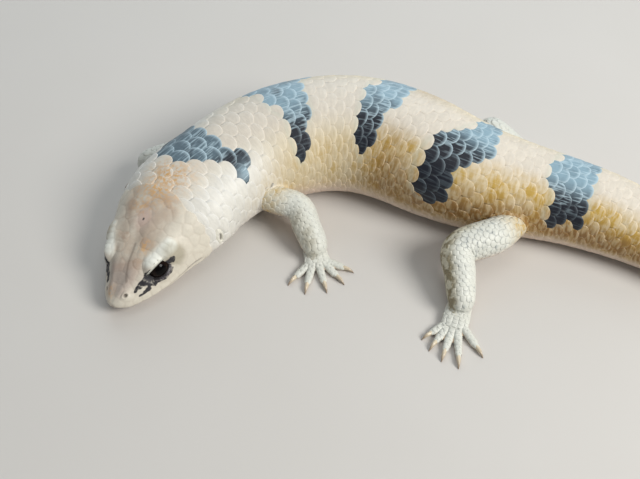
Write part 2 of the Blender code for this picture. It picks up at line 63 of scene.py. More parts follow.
# Outline: distance from the snout in mm, half width, height of the back, of the underside and of the widest
# line
OUTLINE = (
    (0, 3.4, 5.8, 2.6, 3.8),
    (4, 5.1, 7.8, 1.3, 4.0),
    (8, 7.5, 10.6, 0.3, 4.8),
    (13, 9.9, 13.6, 0.2, 5.5),
    (20, 12.4, 17.2, 1.0, 7.0),
    (27, 14.9, 20.0, 1.2, 8.4),
    (34, 16.5, 21.8, 1.0, 9.6),
    (40, 16.4, 22.8, 0.6, 10.4),
    (47, 15.7, 23.8, 0.0, 11.2),
    (56, 15.9, 25.2, -0.4, 11.8),
    (70, 16.8, 26.8, -0.7, 12.4),
    (92, 17.4, 27.4, -0.7, 12.6),
    (110, 17.1, 26.6, -0.7, 12.2),
    (124, 15.9, 24.8, -0.6, 11.4),
    (135, 14.4, 22.8, -0.5, 10.5),
    (143, 13.2, 21.5, -0.5, 9.9),
    (152, 12.2, 20.5, -0.5, 9.5),
    (164, 11.3, 19.2, -0.5, 9.0),
    (176, 10.0, 17.2, -0.5, 8.2),
    (190, 8.2, 14.2, -0.4, 6.8),
    (204, 6.0, 10.8, -0.4, 5.2),
    (218, 3.8, 7.2, -0.3, 3.5),
    (230, 2.0, 4.2, -0.2, 2.0),
    (238, 1.0, 2.4, 0.0, 1.2),
)
SNOUT_ROUND = 4.0
TAIL_ROUND = 2.0
LEAST_ROUND = 0.04

# How square the section is above and below its widest line, and the lean of the head in degrees about a
# height
SQUARENESS = (
    (0, 2.1, 2.2), (8, 2.0, 2.3), (14, 2.0, 2.6), (30, 2.2, 3.0), (50, 2.15, 2.8), (140, 2.1, 2.8),
    (170, 2.1, 2.4), (238, 2, 2),
)
LEAN = ((0, 7), (24, 7), (44, 0), (238, 0))
LEAN_HEIGHT = 5.0

# Swellings and hollows of the head, both sides: distance, angle, height in mm, reach along in mm and round
# in degrees
SWELLINGS = {
    "brow": (15.4, 35, 1.9, 3.6, 16),
    "side of the snout": (6.0, 32, -0.8, 2.8, 13),
    "snout ridge": (5.5, 62, 0.35, 3.6, 10),
    "crown": (15.0, 90, -0.8, 5.5, 15),
    "nostril rim": (3.0, 36, 0.3, 1.3, 12),
    "lip": (11.0, -16, 0.4, 8.0, 10),
    "temple": (23.0, 38, 0.4, 4.0, 16),
    "jowl": (24.0, -18, 1.2, 6.0, 24),
    "neck fold": (41.0, -12, -0.6, 2.5, 22),
}

# Mouth line on the head's side, as distance from the snout and height in mm, and where its corner fades out
MOUTH = ((-1, 2.4), (2, 2.2), (6, 2.2), (11, 2.7), (16, 3.7), (20, 4.9), (22.3, 5.1), (30, 5.1))
MOUTH_CORNER = (21.2, 22.8)

# Eye: its middle as distance, out and height in mm, and the ball and the lids over it
EYE_AT = (12.8, 6.5, 8.4)
EYE_RADIUS = 3.1
LID_REACH = 3.9
LID_MELT = 0.9
EYE_LOOKS_UP = 0.34
EYE_LOOKS_AHEAD = 0.54
EYE_TILT = 10.0

# Ear: distance and angle of its cup, half its length in mm, half its height in degrees, depth in mm, and how
# deep and how close together the lobes of its front edge are
EAR_AT = (29.8, -3.0)
EAR_HALF = (0.7, 4.8)
EAR_DEPTH = 1.3
EAR_LOBES, EAR_LOBES_APART = 0.16, 9.0

# Scales and skin under the ear's rim: how much deeper than the ear they lie in mm, and over what reach from
# its middle they and the cup sink, 1 being the opening's edge
DENT_DEEPER, DENT_REACH = 0.7, (2.1, 1.35)
HOLLOW_DEEPER, HOLLOW_REACH = 0.2, (1.15, 0.7)
CUP_REACH = (1.05, 0.6)

# Legs, from the root inside the body to the ankle: distance along the spine, out to the animal's left,
# height and half width, in mm
LEGS = {
    "foreleg_left": (
        (51, 6.0, 8.8, 4.6), (54.5, 16.0, 9.2, 4.0), (62.0, 22.4, 8.5, 4.0), (61.2, 27.8, 6.2, 3.9),
        (59.0, 32.6, 4.0, 3.6),
    ),
    "foreleg_right": (
        (51, -6.0, 9.5, 5.2), (46.0, -14.6, 9.4, 4.2), (40.2, -19.0, 8.6, 4.1), (41.6, -20.6, 6.0, 3.6),
        (43.6, -21.0, 3.6, 3.1),
    ),
    "hindleg_left": (
        (144, 6.4, 7.8, 2.4), (136.2, 18.3, 9.6, 4.8), (129.6, 25.7, 9.3, 4.7), (130.8, 32.2, 6.8, 4.1),
        (132.0, 37.6, 4.2, 3.6),
    ),
    "hindleg_right": (
        (143, -5.0, 8.8, 6.0), (136, -13.4, 9.6, 5.0), (126.6, -18.2, 10.9, 4.8), (130.5, -20.0, 7.2, 3.9),
        (135.0, -20.0, 4.2, 3.3),
    ),
}

# Feet: heading of the middle toe in degrees from +X, palm length and half width, toe lengths, spread of the
# toes
FEET = {
    "foreleg_left": ("hand_left", -78, 5.2, 3.5, (3.4, 4.6, 5.4, 5.4, 3.9), (54, 27, 2, -24, -52)),
    "foreleg_right": ("hand_right", -118, 5.2, 3.3, (3.4, 4.6, 5.4, 5.4, 3.9), (-34, -18, -2, 14, 32)),
    "hindleg_left": ("foot_left", -108, 7.4, 3.6, (3.6, 5.2, 6.8, 7.8, 5.0), (-38, -20, -3, 14, 44)),
    "hindleg_right": ("foot_right", -21, 7.4, 3.4, (3.6, 5.2, 6.8, 7.8, 5.0), (26, 13, 2, -11, -32)),
}
TOE_RADIUS = 1.15
TOE_FLATNESS = 0.72
TOE_ROOT = 1.6
TOE_SPACING = 0.98
CLAW_LENGTH = 2.6
CLAW_RADIUS = 0.55
CLAW_HEIGHT = 1.15
CLAW_ROOT = 0.7
INSTEP = ((1.9, 2.2, 0.72), (3.6, 1.3, 0.36))

# Toe and claw: length in mm or share of it, height over the toe's half height, half width over the radius
TOE_SHAPE = ((0.4, 1.1, 1.04), (0.8, 1.0, 0.95), (1.0, 0.96, 0.62))
TOE_START = (1.45, 1.1)
CLAW_SHAPE = ((0.3, 1.15, 0.9), (0.7, 0.75, 0.55), (1.0, 0.14, 0.12))
CLAW_START = (0.95, 1.0)

# Palm or sole, from the heel forward: share of its length, half width over the palm's, height over width
PALM_SHAPE = (
    (-0.4, 0.5, 0.56), (-0.2, 0.82, 0.5), (0.4, 0.98, 0.42), (0.75, 1.0, 0.38), (1.0, 0.88, 0.34),
    (1.2, 0.45, 0.5),
)

# Depth of the coat of scales over the skin on the body and on the limbs, and how much deeper the skin lies
# in the head
COAT = 0.42
LIMB_COAT = 0.26
HEAD_SINK = 0.45

# Scales along the body: distance in mm, gap between two rings, width of a scale on the back
SCALE_TABLE = (
    (14, 1.5, 3.4), (24, 2.6, 5.4), (36, 2.9, 6.3), (50, 2.85, 6.0), (75, 2.7, 5.3), (110, 2.6, 5.0),
    (150, 2.45, 4.6), (180, 2.2, 3.9), (205, 1.8, 2.9), (225, 1.3, 1.8), (238, 0.9, 1.1),
)
FLANK_NARROWING = 0.2
FLANK_NARROWS = (0.15, 0.6)
FLANK_STARTS = 0.58

# Where the scales take over from the shields of the head: angle over the side, and distance from the snout
SHIELDS_END = (
    (-90, 13.5), (-60, 15.5), (-38, 21.0), (-15, 25.5), (5, 26.6), (25, 26.6), (45, 27.4), (65, 28.8),
    (90, 29.4),
)

# Dark bands: angle round the body, front edge and rear edge in mm from the snout
BANDS = {
    "nape": (
        (26, 47.4, 49.0), (36, 46.2, 49.4), (48, 44.4, 49.4), (58, 41.4, 49.2), (72, 39.8, 48.8),
        (98, 37.6, 47.8), (120, 36.4, 46.8), (134, 36.2, 46.6), (144, 38.4, 47.0), (155, 42.6, 48.2),
        (166, 47.0, 48.6),
    ),
    "shoulder": (
        (19, 68.2, 69.2), (25, 67.8, 70.6), (38, 67.4, 71.6), (52, 66.9, 74.2), (62, 68.0, 76.2),
        (69, 67.8, 76.8), (82, 65.5, 76.4), (101, 64.8, 75.8), (118, 64.0, 76.6), (141, 62.5, 78.0),
        (156, 64.2, 75.6), (168, 67.6, 71.0),
    ),
    "middle": (
        (19, 95.6, 96.6), (25, 94.2, 97.2), (35, 92.9, 98.0), (47, 92.2, 98.4), (67, 91.4, 99.8),
        (91, 92.2, 101.6), (112, 92.8, 102.6), (134, 94.0, 103.2), (150, 95.2, 101.4), (164, 97.4, 99.6),
    ),
    "loin": (
        (5, 117.0, 119.0), (10, 115.8, 122.4), (19, 114.8, 122.9), (30, 114.4, 123.4), (50, 113.9, 124.4),
        (62, 114.9, 125.4), (68, 115.9, 127.8), (80, 118.2, 130.2), (102, 121.4, 130.2), (126, 124.8, 130.0),
        (150, 124.0, 129.6), (172, 122.4, 128.0), (184, 123.6, 125.6),
    ),
    "tail base": (
        (10, 149.0, 153.0), (15, 147.6, 156.0), (25, 147.5, 157.6), (35, 148.2, 159.2), (46, 148.4, 158.8),
        (58, 147.0, 158.2), (67, 146.0, 158.6), (76, 146.2, 159.2), (96, 146.8, 157.8), (116, 147.6, 158.2),
        (136, 148.4, 158.0), (156, 149.2, 157.0), (170, 151.0, 155.6),
    ),
    "tail": (
        (8, 181.0, 183.5), (20, 178.4, 186.6), (60, 178.0, 187.4), (90, 178.4, 187.8), (130, 178.2, 187.2),
        (160, 179.4, 186.0), (174, 181.6, 183.8),
    ),
    "tail end": (
        (2, 206.4, 210.0), (30, 205.2, 212.4), (90, 205.0, 213.0), (150, 205.4, 212.0), (178, 207.0, 210.2),
    ),
}
BAND_HALO = 1.2

# How much higher or lower than elsewhere the bands turn pale, partly in a painted sky reflection: distance
# from the snout, and degrees
BAND_FADES = ((48, 0), (72, -3), (97, 4), (122, 12), (153, -16), (183, -5))

# Ochre of the flanks: distance from the snout, angle where it starts on the back, and strength
OCHRE_REACH = (
    (40, 30, 0.0), (54, 42, 0.3), (66, 46, 0.42), (80, 54, 0.55), (92, 58, 0.62), (101, 72, 0.9),
    (112, 70, 0.95), (118, 68, 0.95), (132, 78, 1.0), (146, 74, 1.0), (160, 76, 1.0), (190, 80, 1.0),
    (238, 78, 0.9),
)


def smooth_through(table, distance):
    """Each column of the table at a distance, on smooth curves that don't overshoot."""
    rows = np.array(table, float)
    at, values = rows[:, 0], rows[:, 1:]
    step = np.diff(at)[:, None]
    slope = np.diff(values, axis=0) / step
    both = slope[:-1] * slope[1:]
    inner = np.where(both > 0, 2 * both / (slope[:-1] + slope[1:] + 1e-12), 0)
    tangent = np.vstack([slope[:1], inner, slope[-1:]])
    distance = np.clip(np.asarray(distance, float), at[0], at[-1])
    k = np.clip(np.searchsorted(at, distance, side="right") - 1, 0, len(at) - 2)
    h = step[k, 0]
    t = ((distance - at[k]) / h)[..., None]
    h = h[..., None]
    return (
        (2 * t**3 - 3 * t**2 + 1) * values[k]
        + (t**3 - 2 * t**2 + t) * h * tangent[k]
        + (3 * t**2 - 2 * t**3) * values[k + 1]
        + (t**3 - t**2) * h * tangent[k + 1]
    )


def ease(value, low, high):
    """0 below low, 1 above high, and smooth between. Low may lie above high."""
    share = np.clip((np.asarray(value, float) - low) / (high - low), 0, 1)
    return share * share * (3 - 2 * share)


def spot(distance, angle, at, middle, along, around):
    """1 at a place on the body, falling smoothly to 0 over a reach along in mm and round in degrees."""
    return np.exp(-(((distance - at) / along) ** 2) - ((angle - middle) / around) ** 2)


def unit(vectors):
    """The vectors at length 1."""
    return vectors / np.maximum(np.linalg.norm(vectors, axis=-1, keepdims=True), 1e-9)


# The body's own coordinates: distance along the spine, out to the left, and height

PATH_STEP = 0.25
PATH_AT = np.arange(0, LENGTH + PATH_STEP, PATH_STEP)
PATH_HEADING = np.radians(smooth_through(HEADINGS, PATH_AT)[:, 0])


def spine_path():
    """The spine's place on the floor at each step, with the middle of the belly at the origin."""
    steps = PATH_STEP * np.column_stack([np.cos(PATH_HEADING), np.sin(PATH_HEADING)])
    points = np.vstack([[0, 0], np.cumsum((steps[1:] + steps[:-1]) / 2, axis=0)])
    middle = [np.interp(BELLY_MIDDLE, PATH_AT, points[:, i]) for i in (0, 1)]
    return points - middle


PATH = spine_path()


def beside_spine(local):
    """Places in mm of points given as distance along the spine, out to the left, and height."""
    along, out, height = local[..., 0], local[..., 1], local[..., 2]
    lean = np.radians(smooth_through(LEAN, along)[..., 0])
    up = height - LEAN_HEIGHT
    aside = out * np.cos(lean) - up * np.sin(lean)
    risen = LEAN_HEIGHT + out * np.sin(lean) + up * np.cos(lean)
    x, y, heading = (np.interp(along, PATH_AT, values) for values in (PATH[:, 0], PATH[:, 1], PATH_HEADING))
    return np.stack([x + np.sin(heading) * aside, y - np.cos(heading) * aside, risen], axis=-1)


def folded(angle):
    """The angle on the left side that mirrors one on the right."""
    angle = (np.asarray(angle, float) + 180) % 360 - 180
    return np.where(np.abs(angle) > 90, np.sign(angle) * 180 - angle, angle)


def end_rounding(distance):
    """Shrinks the section to a round tip at the snout and at the tail's end."""
    snout = np.clip(distance / SNOUT_ROUND, 0, 1)
    tail = np.clip((LENGTH - distance) / TAIL_ROUND, 0, 1)
    return np.maximum(np.sqrt(1 - (1 - snout) ** 2) * np.sqrt(1 - (1 - tail) ** 2), LEAST_ROUND)


def swelling_at(distance, angle):
    """How far the head's swellings lift the skin, in mm."""
    return sum(
        height * spot(distance, angle, at, middle, along, around)
        for at, middle, height, along, around in SWELLINGS.values()
    )


def lids_reach(distance, angle, widest):
    """How far out from the section's middle the lids over the eyes reach, or 0, in mm."""
    angle = np.radians(angle)
    slice_radius = LID_REACH**2 - (distance - EYE_AT[0]) ** 2
    towards = EYE_AT[1] * np.cos(angle) + (EYE_AT[2] - widest) * np.sin(angle)
    aside = EYE_AT[1] ** 2 + (EYE_AT[2] - widest) ** 2 - towards**2
    depth = slice_radius - aside
    return np.where(depth > 0, towards + np.sqrt(np.maximum(depth, 0)), 0)


def body_shape(distances, angles, depth):
    """The body's surface in its own coordinates, sunk by a depth, one row for each distance."""
    distance = np.asarray(distances, float)[:, None]
    half, back, under, widest = (smooth_through(OUTLINE, distances)[:, i, None] for i in range(4))
    above, below = (smooth_through(SQUARENESS, distances)[:, i, None] for i in range(2))
    angles = np.asarray(angles, float)[None, :]
    cos, sin = np.cos(np.radians(angles)), np.sin(np.radians(angles))
    rise = np.where(sin > 0, back - widest, widest - under)
    power = np.where(sin > 0, above, below)
    radius = (np.abs(cos / half) ** power + np.abs(sin / rise) ** power) ** (-1 / power)
    side = folded(angles)
    radius = (radius + swelling_at(distance, side)) * end_rounding(distance)
    beyond = lids_reach(distance, side, widest) - radius
    radius = radius + LID_MELT * np.logaddexp(0, beyond / LID_MELT * 2) / 2 * (beyond > -3 * LID_MELT)
    radius = np.maximum(radius - depth, LEAST_ROUND)
    return np.stack([distance + 0 * radius, cos * radius, widest + sin * radius], axis=-1)


# Sheets: a surface unrolled into distance along and distance round from its top line, which scales are laid
# on

SHEET_COLUMNS = 361
TUBE_COLUMNS = 73
LEAST_TUBE = 0.12
BODY_ANGLES = 90 - np.linspace(-180, 180, 721)
SPREAD = np.linspace(-1, 1, SHEET_COLUMNS)


def even_round(rings, values):
    """Rings and a value round them, taken again at even steps, from the bottom over the top and back."""
    middle = rings.shape[1] // 2
    reach = np.concatenate(
        [np.zeros((len(rings), 1)), np.cumsum(np.linalg.norm(np.diff(rings, axis=1), axis=2), axis=1)], axis=1
    )
    share = reach - reach[:, middle : middle + 1]
    near, far = -share[:, :1], share[:, -1:]
    share = np.where(share < 0, share / np.maximum(near, 1e-9), share / np.maximum(far, 1e-9))
    points = np.empty((len(rings), SHEET_COLUMNS, rings.shape[2]))
    found = np.empty((len(rings), SHEET_COLUMNS))
    for j, row in enumerate(share):
        for axis in range(rings.shape[2]):
            points[j, :, axis] = np.interp(SPREAD, row, rings[j, :, axis])
        found[j] = np.interp(SPREAD, row, values)
    return points, found, ((near + far) / 2)[:, 0]


def normals_of(points):
    """Directions straight out of a grid of points that closes round its columns."""
    ahead = np.gradient(points, axis=0)
    ring = points[:, :-1]
    around = np.roll(ring, -2, axis=1) - np.roll(ring, 2, axis=1)
    around = np.concatenate([around, around[:, :1]], axis=1)
    out = unit(np.cross(ahead, around))
    return out * np.sign(np.mean(np.sum(out * (points - points.mean(axis=1, keepdims=True)), axis=2)))


def body_sheet():
    """The sheet of the whole body behind the snout, at the skin's depth."""
    at = np.concatenate([np.arange(0.6, 4, 0.2), np.arange(4, LENGTH - 0.9, 0.4)])
    rings = beside_spine(body_shape(at, BODY_ANGLES, COAT))
    rings[..., 2] = np.maximum(rings[..., 2], COAT)
    points, angle, girth = even_round(rings, BODY_ANGLES)
    return {"at": at, "points": points, "out": normals_of(points), "girth": girth, "angle": angle}


def curve_through(points, count):
    """Rows evenly spaced on a smooth curve through the given rows."""
    rows = np.array(points, float)
    reach = np.concatenate([[0], np.cumsum(np.linalg.norm(np.diff(rows[:, :3], axis=0), axis=1))])
    ends = np.vstack([2 * rows[0] - rows[1], rows, 2 * rows[-1] - rows[-2]])
    found = []
    for at in np.linspace(0, reach[-1], count):
        k = min(int(np.searchsorted(reach, at, side="right")) - 1, len(rows) - 2)
        t = (at - reach[k]) / (reach[k + 1] - reach[k])
        a, b, c, d = ends[k : k + 4]
        bend, twist = 2 * a - 5 * b + 4 * c - d, 3 * b - a - 3 * c + d
        found.append(0.5 * (2 * b + (c - a) * t + bend * t * t + twist * t**3))
    return np.array(found)


def tube_sheet(rows, depth):
    """The sheet of a tube with rows of place, half width, and height over width. Its top line starts up."""
    ahead = unit(np.gradient(rows[:, :3], axis=0))
    top = np.empty_like(ahead)
    last = np.array([0.0, 0.0, 1.0])
    for i, direction in enumerate(ahead):
        last = unit(last - direction * (last @ direction))
        top[i] = last
    side = np.cross(ahead, top)
    turn = np.linspace(-math.pi, math.pi, TUBE_COLUMNS)[None, :, None]
    half = np.maximum(rows[:, 3] - depth, LEAST_TUBE)[:, None, None]
    high = np.maximum(rows[:, 3] * rows[:, 4] - depth, LEAST_TUBE)[:, None, None]
    rings = rows[:, None, :3] + high * np.cos(turn) * top[:, None] - half * np.sin(turn) * side[:, None]
    rings[..., 2] = np.maximum(rings[..., 2], depth)
    points, angle, girth = even_round(rings, np.degrees(turn[0, :, 0]))
    at = np.concatenate([[0], np.cumsum(np.linalg.norm(np.diff(rows[:, :3], axis=0), axis=1))])
    return {"at": at, "points": points, "out": normals_of(points), "girth": girth, "angle": angle}


def lay_on(sheet, along, around):
    """Places, outward directions and angles on a sheet at distances along and round it from its top line."""
    row = np.clip(np.interp(along, sheet["at"], np.arange(len(sheet["at"]))), 0, len(sheet["at"]) - 1.001)
    share = around / np.interp(along, sheet["at"], sheet["girth"])
    column = ((share + 1) / 2 % 1) * (SHEET_COLUMNS - 1)
    i, j = row.astype(int), np.minimum(column.astype(int), SHEET_COLUMNS - 2)
    down, over = row - i, column - j
    found = []
    for grid in (sheet["points"], sheet["out"], sheet["angle"][..., None]):
        first = grid[i, j] * (1 - over)[..., None] + grid[i, j + 1] * over[..., None]
        second = grid[i + 1, j] * (1 - over)[..., None] + grid[i + 1, j + 1] * over[..., None]
        found.append(first * (1 - down)[..., None] + second * down[..., None])
    return found[0], unit(found[1]), found[2][..., 0]


# Meshes

def link_thing(name, data):
    """A mesh, a camera or a light placed in the scene."""
    thing = bpy.data.objects.new(name, data)
    bpy.context.scene.collection.objects.link(thing)
    return thing


def new_piece(name, points, corners, counts):
    """A smooth piece from points in mm, the corners of its faces in turn, and each face's number of them."""
    mesh = bpy.data.meshes.new(name)
    points = np.asarray(points, float).reshape(-1, 3)
    mesh.vertices.add(len(points))
    mesh.vertices.foreach_set("co", (points * MM).ravel())
    mesh.loops.add(len(corners))
    mesh.loops.foreach_set("vertex_index", np.asarray(corners, np.int32))
    mesh.polygons.add(len(counts))
    mesh.polygons.foreach_set("loop_start", np.concatenate([[0], np.cumsum(counts)[:-1]]).astype(np.int32))
    mesh.update(calc_edges=True)
    mesh.validate()
    mesh.shade_smooth()
    return link_thing(name, mesh)


def add_values(piece, **values):
    """Stores a value for each point of the piece under each name, for its material."""
    for name, numbers in values.items():
        layer = piece.data.attributes.new(name, "FLOAT", "POINT")
        layer.data.foreach_set("value", np.ascontiguousarray(numbers, np.float32).ravel())


def add_bake_map(piece, places):
    """Adds the OFBake map from a place on the unwrap for each point of the piece."""
    corners = np.empty(len(piece.data.loops), np.int32)
    piece.data.loops.foreach_get("vertex_index", corners)
    layer = piece.data.uv_layers.new(name="OFBake")
    layer.data.foreach_set("uv", np.asarray(places, np.float32)[corners].ravel())


def grid_faces(rows, columns, closed):
    """Faces of a grid of points whose columns close round or not."""
    across = columns if closed else columns - 1
    i, j = np.meshgrid(np.arange(rows - 1), np.arange(across), indexing="ij")
    near, far = j.ravel(), (j.ravel() + 1) % columns
    first = i.ravel() * columns
    return np.column_stack([first + near, first + far, first + columns + far, first + columns + near])


def loft(name, *tubes):
    """Closed tubes as one piece, each given as rings of points in mm, with a flat face at each end."""
    points, corners, counts = [], [], []
    first = 0
    for rings in tubes:
        rows, columns = rings.shape[:2]
        sides = grid_faces(rows, columns, True)
        ends = np.concatenate([np.arange(columns)[::-1], (rows - 1) * columns + np.arange(columns)])
        points.append(rings.reshape(-1, 3))
        corners.append(first + np.concatenate([sides.ravel(), ends]))
        counts.append(np.concatenate([np.full(len(sides), 4), [columns, columns]]))
        first += rows * columns
    piece = new_piece(name, *(np.concatenate(lists) for lists in (points, corners, counts)))
    maker = bmesh.new()
    maker.from_mesh(piece.data)
    bmesh.ops.recalc_face_normals(maker, faces=maker.faces)
    maker.to_mesh(piece.data)
    maker.free()
    return piece


# Scales: a closed plate, from its root under the scales ahead of it to its free edge

# Plan: how round the free edge is, and how wide the root is and where the plate has its full width
PLATE_ARC = 0.23
PLATE_ARC_POWER = 2.8
PLATE_ROOT_WIDTH = 0.82
PLATE_FULL_WIDTH_AT = 0.45

# Lie: height of the root in mm, how the plate rises to its tip, and how its sides and tip bend down, over
# the coat's depth
ROOT_HEIGHT = 0.06
RISE_POWER = 0.85
SIDES_BEND, SIDES_BEND_POWER = 0.11, 2.2
TIP_BENDS, TIP_BENDS_FROM = 0.15, 0.8

# Thickness in mm, and over the coat's depth
PLATE_THICKNESS = (0.16, 0.2)

# Rim: how near the sides count against the tip, and where along they start and the rim's colour starts and
# is full
RIM_OF_SIDES = 0.94
RIM_SIDES_FROM = (0.4, 0.6)
RIM_FROM = (0.88, 0.98)

# How much of the ochre every scale takes, and how much more or less by its tone
OCHRE_SHARE, OCHRE_UNEVEN = 0.84, 0.2

# Size of a scale's own patch on the bake map, and the map's margin
BAKE_PATCH = 0.003
BAKE_MARGIN = 0.01


def plate_plan(across, rows):
    """A plate's plan: place along from root 0 to tip 1, place across from -1 to 1, edge marks and faces."""
    side = np.linspace(-1, 1, across + 1)
    rows = np.array(rows)
    a, b = np.meshgrid(rows, side, indexing="ij")
    length = 1 - PLATE_ARC * np.abs(b) ** PLATE_ARC_POWER
    along = a * length
    width = PLATE_ROOT_WIDTH + (1 - PLATE_ROOT_WIDTH) * ease(a, 0, PLATE_FULL_WIDTH_AT)
    grid = np.arange(a.size).reshape(a.shape)
    rim = np.concatenate([grid[0, :-1], grid[:-1, -1], grid[-1, :0:-1], grid[:0:-1, 0]])
    under = a.size + np.arange(len(rim))
    top = grid_faces(*a.shape, False)
    walls = np.column_stack([rim, under, np.roll(under, -1), np.roll(rim, -1)])
    corners = np.concatenate([top.ravel(), walls.ravel(), under[::-1]])
    counts = np.concatenate([np.full(len(top) + len(walls), 4), [len(rim)]])
    pick = np.concatenate([np.arange(a.size), rim])
    below = np.concatenate([np.zeros(a.size), np.ones(len(rim))])
    return {
        "row": a.ravel()[pick],
        "along": along.ravel()[pick],
        "across": (b * width).ravel()[pick],
        "side": b.ravel()[pick],
        "below": below,
        "corners": corners,
        "counts": counts,
    }


# Where along a plate it turns about when it lies a little askew
TURN_ABOUT = 0.6

BODY_PLATE = plate_plan(8, (0, 0.24, 0.42, 0.56, 0.68, 0.78, 0.86, 0.925, 0.97, 1.0))
LIMB_PLATE = plate_plan(5, (0, 0.35, 0.6, 0.8, 0.94, 1.0))


def make_scales(name, plan, sheet, scales, coat, tint, settle=None, unwrap=None, dent=None):
    """A joined mesh of plates on a sheet. Scales holds each one's tip, around, half, length, tone and band.

    The plates rise from the skin at the root to the full depth of the coat at the tip. Tint gives the
    markings, settle draws the plates on to the skin, and dent sinks them. Unwrap holds the first and last
    distance and the low and high edge that they have on the bake map.
    """
    tip, around, half, length = (scales[key][:, None] for key in ("tip", "around", "half", "length"))
    along = tip - length * (1 - plan["along"][None, :])
    taper = scales["taper"](along) / scales["taper"](tip) if "taper" in scales else 1
    turned = plan["across"] + scales["turn"][:, None] * (plan["along"] - TURN_ABOUT) * length / half
    point, out, angle = lay_on(sheet, along, (around + turned * half) * taper)
    if settle is not None:
        point, out = settle(point, out)
    rise = coat * plan["along"] ** RISE_POWER * scales["lift"][:, None]
    sides = SIDES_BEND * np.abs(plan["side"]) ** SIDES_BEND_POWER
    dome = coat * (sides + TIP_BENDS * ease(plan["row"], TIP_BENDS_FROM, 1.0) ** 2)
    thickness = PLATE_THICKNESS[0] + PLATE_THICKNESS[1] * coat
    height = ROOT_HEIGHT + rise - dome - plan["below"] * thickness
    if dent is not None:
        height = height - dent(along, angle)
    place = point + out * height[..., None]
    place[..., 2] = np.maximum(place[..., 2], 0.0)
    many, each = place.shape[:2]
    shift = (np.arange(many) * each)[:, None]
    corners = (plan["corners"][None, :] + shift).ravel()
    piece = new_piece(name, place, corners, np.tile(plan["counts"], many))
    sides = RIM_OF_SIDES * np.abs(plan["side"]) * ease(plan["row"], *RIM_SIDES_FROM)
    rim = ease(np.maximum(plan["row"], sides), *RIM_FROM)
    values = tint(along, angle)
    values["ochre"] = values["ochre"] * (OCHRE_SHARE + OCHRE_UNEVEN * scales["tone"][:, None])
    values["band"] = np.repeat(scales["band"], each)
    add_values(
        piece,
        rim=np.tile(rim, many),
        lay_across=(plan["across"] * half).ravel(),
        lay_along=(plan["along"] * length).ravel(),
        tone=np.repeat(scales["tone"], each),
        **values,
    )
    first, last, low, high = unwrap or (sheet["at"][0], sheet["at"][-1], 0, 1)
    root_along = ((tip - length / 2) - first) / (last - first)
    root_round = 0.5 + 0.5 * around / np.interp(tip, sheet["at"], sheet["girth"])
    inside = 1 - 2 * BAKE_MARGIN
    u = BAKE_MARGIN + inside * root_along + BAKE_PATCH * (plan["along"] - 0.5)
    v = low + (high - low) * (BAKE_MARGIN + inside * (root_round % 1)) + BAKE_PATCH * plan["side"] / 2
    add_bake_map(piece, np.stack([u, v], axis=-1).reshape(-1, 2))
    return piece


def scale_rings(first, last, gap_at):
    """Tips of the rings of scales from one distance to another, each with its number."""
    at, number, rings = first, 0, []
    while at < last:
        rings.append((number, at))
        at += float(gap_at(at))
        number += 1
    return rings


def rows_round(girth, width, parity):
    """Places and half widths of the scales of one ring, from the mid back to the belly on the left side."""
    round_at = np.linspace(0, girth, 200)
    narrow = width * (1 - FLANK_NARROWING * ease(round_at / girth, *FLANK_NARROWS))
    number = np.concatenate([[0], np.cumsum(np.diff(round_at) / ((narrow[1:] + narrow[:-1]) / 2))])
    split = np.interp(FLANK_STARTS * girth, round_at, number)
    last = max(round(number[-1]), math.ceil(split))
    stretched = split + (number - split) * (last - split) / (number[-1] - split)
    number = np.where(number > split, stretched, number)
    wanted = np.arange(parity / 2, last + 0.01, 1.0)
    middle = np.interp(wanted, number, round_at)
    half = (np.interp(wanted + 0.5, number, round_at) - np.interp(wanted - 0.5, number, round_at)) / 2
    half = np.where((wanted < 0.1) | (wanted > last - 0.1), np.interp(0.5, number, round_at), half)
    return middle, half


# Length of a degree round the body, in mm
DEGREE_OF_BODY = 0.28


def in_band(along, angle):
    """How deep a place lies inside the nearest dark band, in mm. Less than 0 is outside."""
    angle = np.asarray(angle, float)
    deepest = np.full(np.shape(along), -50.0)
    for table in BANDS.values():
        rows = np.array(table, float)
        front = np.interp(angle, rows[:, 0], rows[:, 1])
        rear = np.interp(angle, rows[:, 0], rows[:, 2])
        beyond = np.maximum(rows[0, 0] - angle, angle - rows[-1, 0]) * DEGREE_OF_BODY
        inside = np.minimum(along - front, rear - along)
        deepest = np.maximum(deepest, np.where(beyond > 0, np.minimum(inside, -beyond), inside))
    return deepest


def from_ear(along, angle):
    """How far a place lies from the middle of the nearer ear, 1 being the opening's edge, lobed in front."""
    ahead = (along - EAR_AT[0]) / EAR_HALF[0]
    up = (folded(angle) - EAR_AT[1]) / EAR_HALF[1]
    lobes = 1 - EAR_LOBES * (0.5 + 0.5 * np.cos(up * EAR_LOBES_APART)) * (ahead < 0)
    return np.hypot(ahead, up) / lobes


def ear_dent(along, angle):
    """How far the scales sink under the rim of the nearer ear, in mm."""
    return (EAR_DEPTH + DENT_DEEPER) * ease(from_ear(along, angle), *DENT_REACH)


# Where the body's markings start and are full: degrees up its side, or round it from the left where so named
BACK_FROM = (34, 72)
BELLY_FROM = (2, -26)
OCHRE_FOOT = (-24, -4)
OCHRE_FADE = 34
# Brown low on the flanks, partly their own colour and partly painted shade, deepest in the fold above the
# thigh
BROWN_FOOT = (-22, -4)
BROWN_TOP, BROWN_TOP_BEHIND = (34, -4), (46, 4)
NECK_TOP = (74, 40)
FAR_SIDE_ROUND = (95, 130)
FAR_SIDE_LOWER = 24
# The bands' pale blue grey over the back is partly their own slate and partly a painted sky reflection,
# reaching lower on the right side than on the left
SKY_SHEEN_FROM_ROUND, SKY_SHEEN_TO_ROUND = (56, 92), (162, 136)
STREAKS_FROM_ROUND = (40, 64)
NAPE_DULL_ROUND = (66, 86)

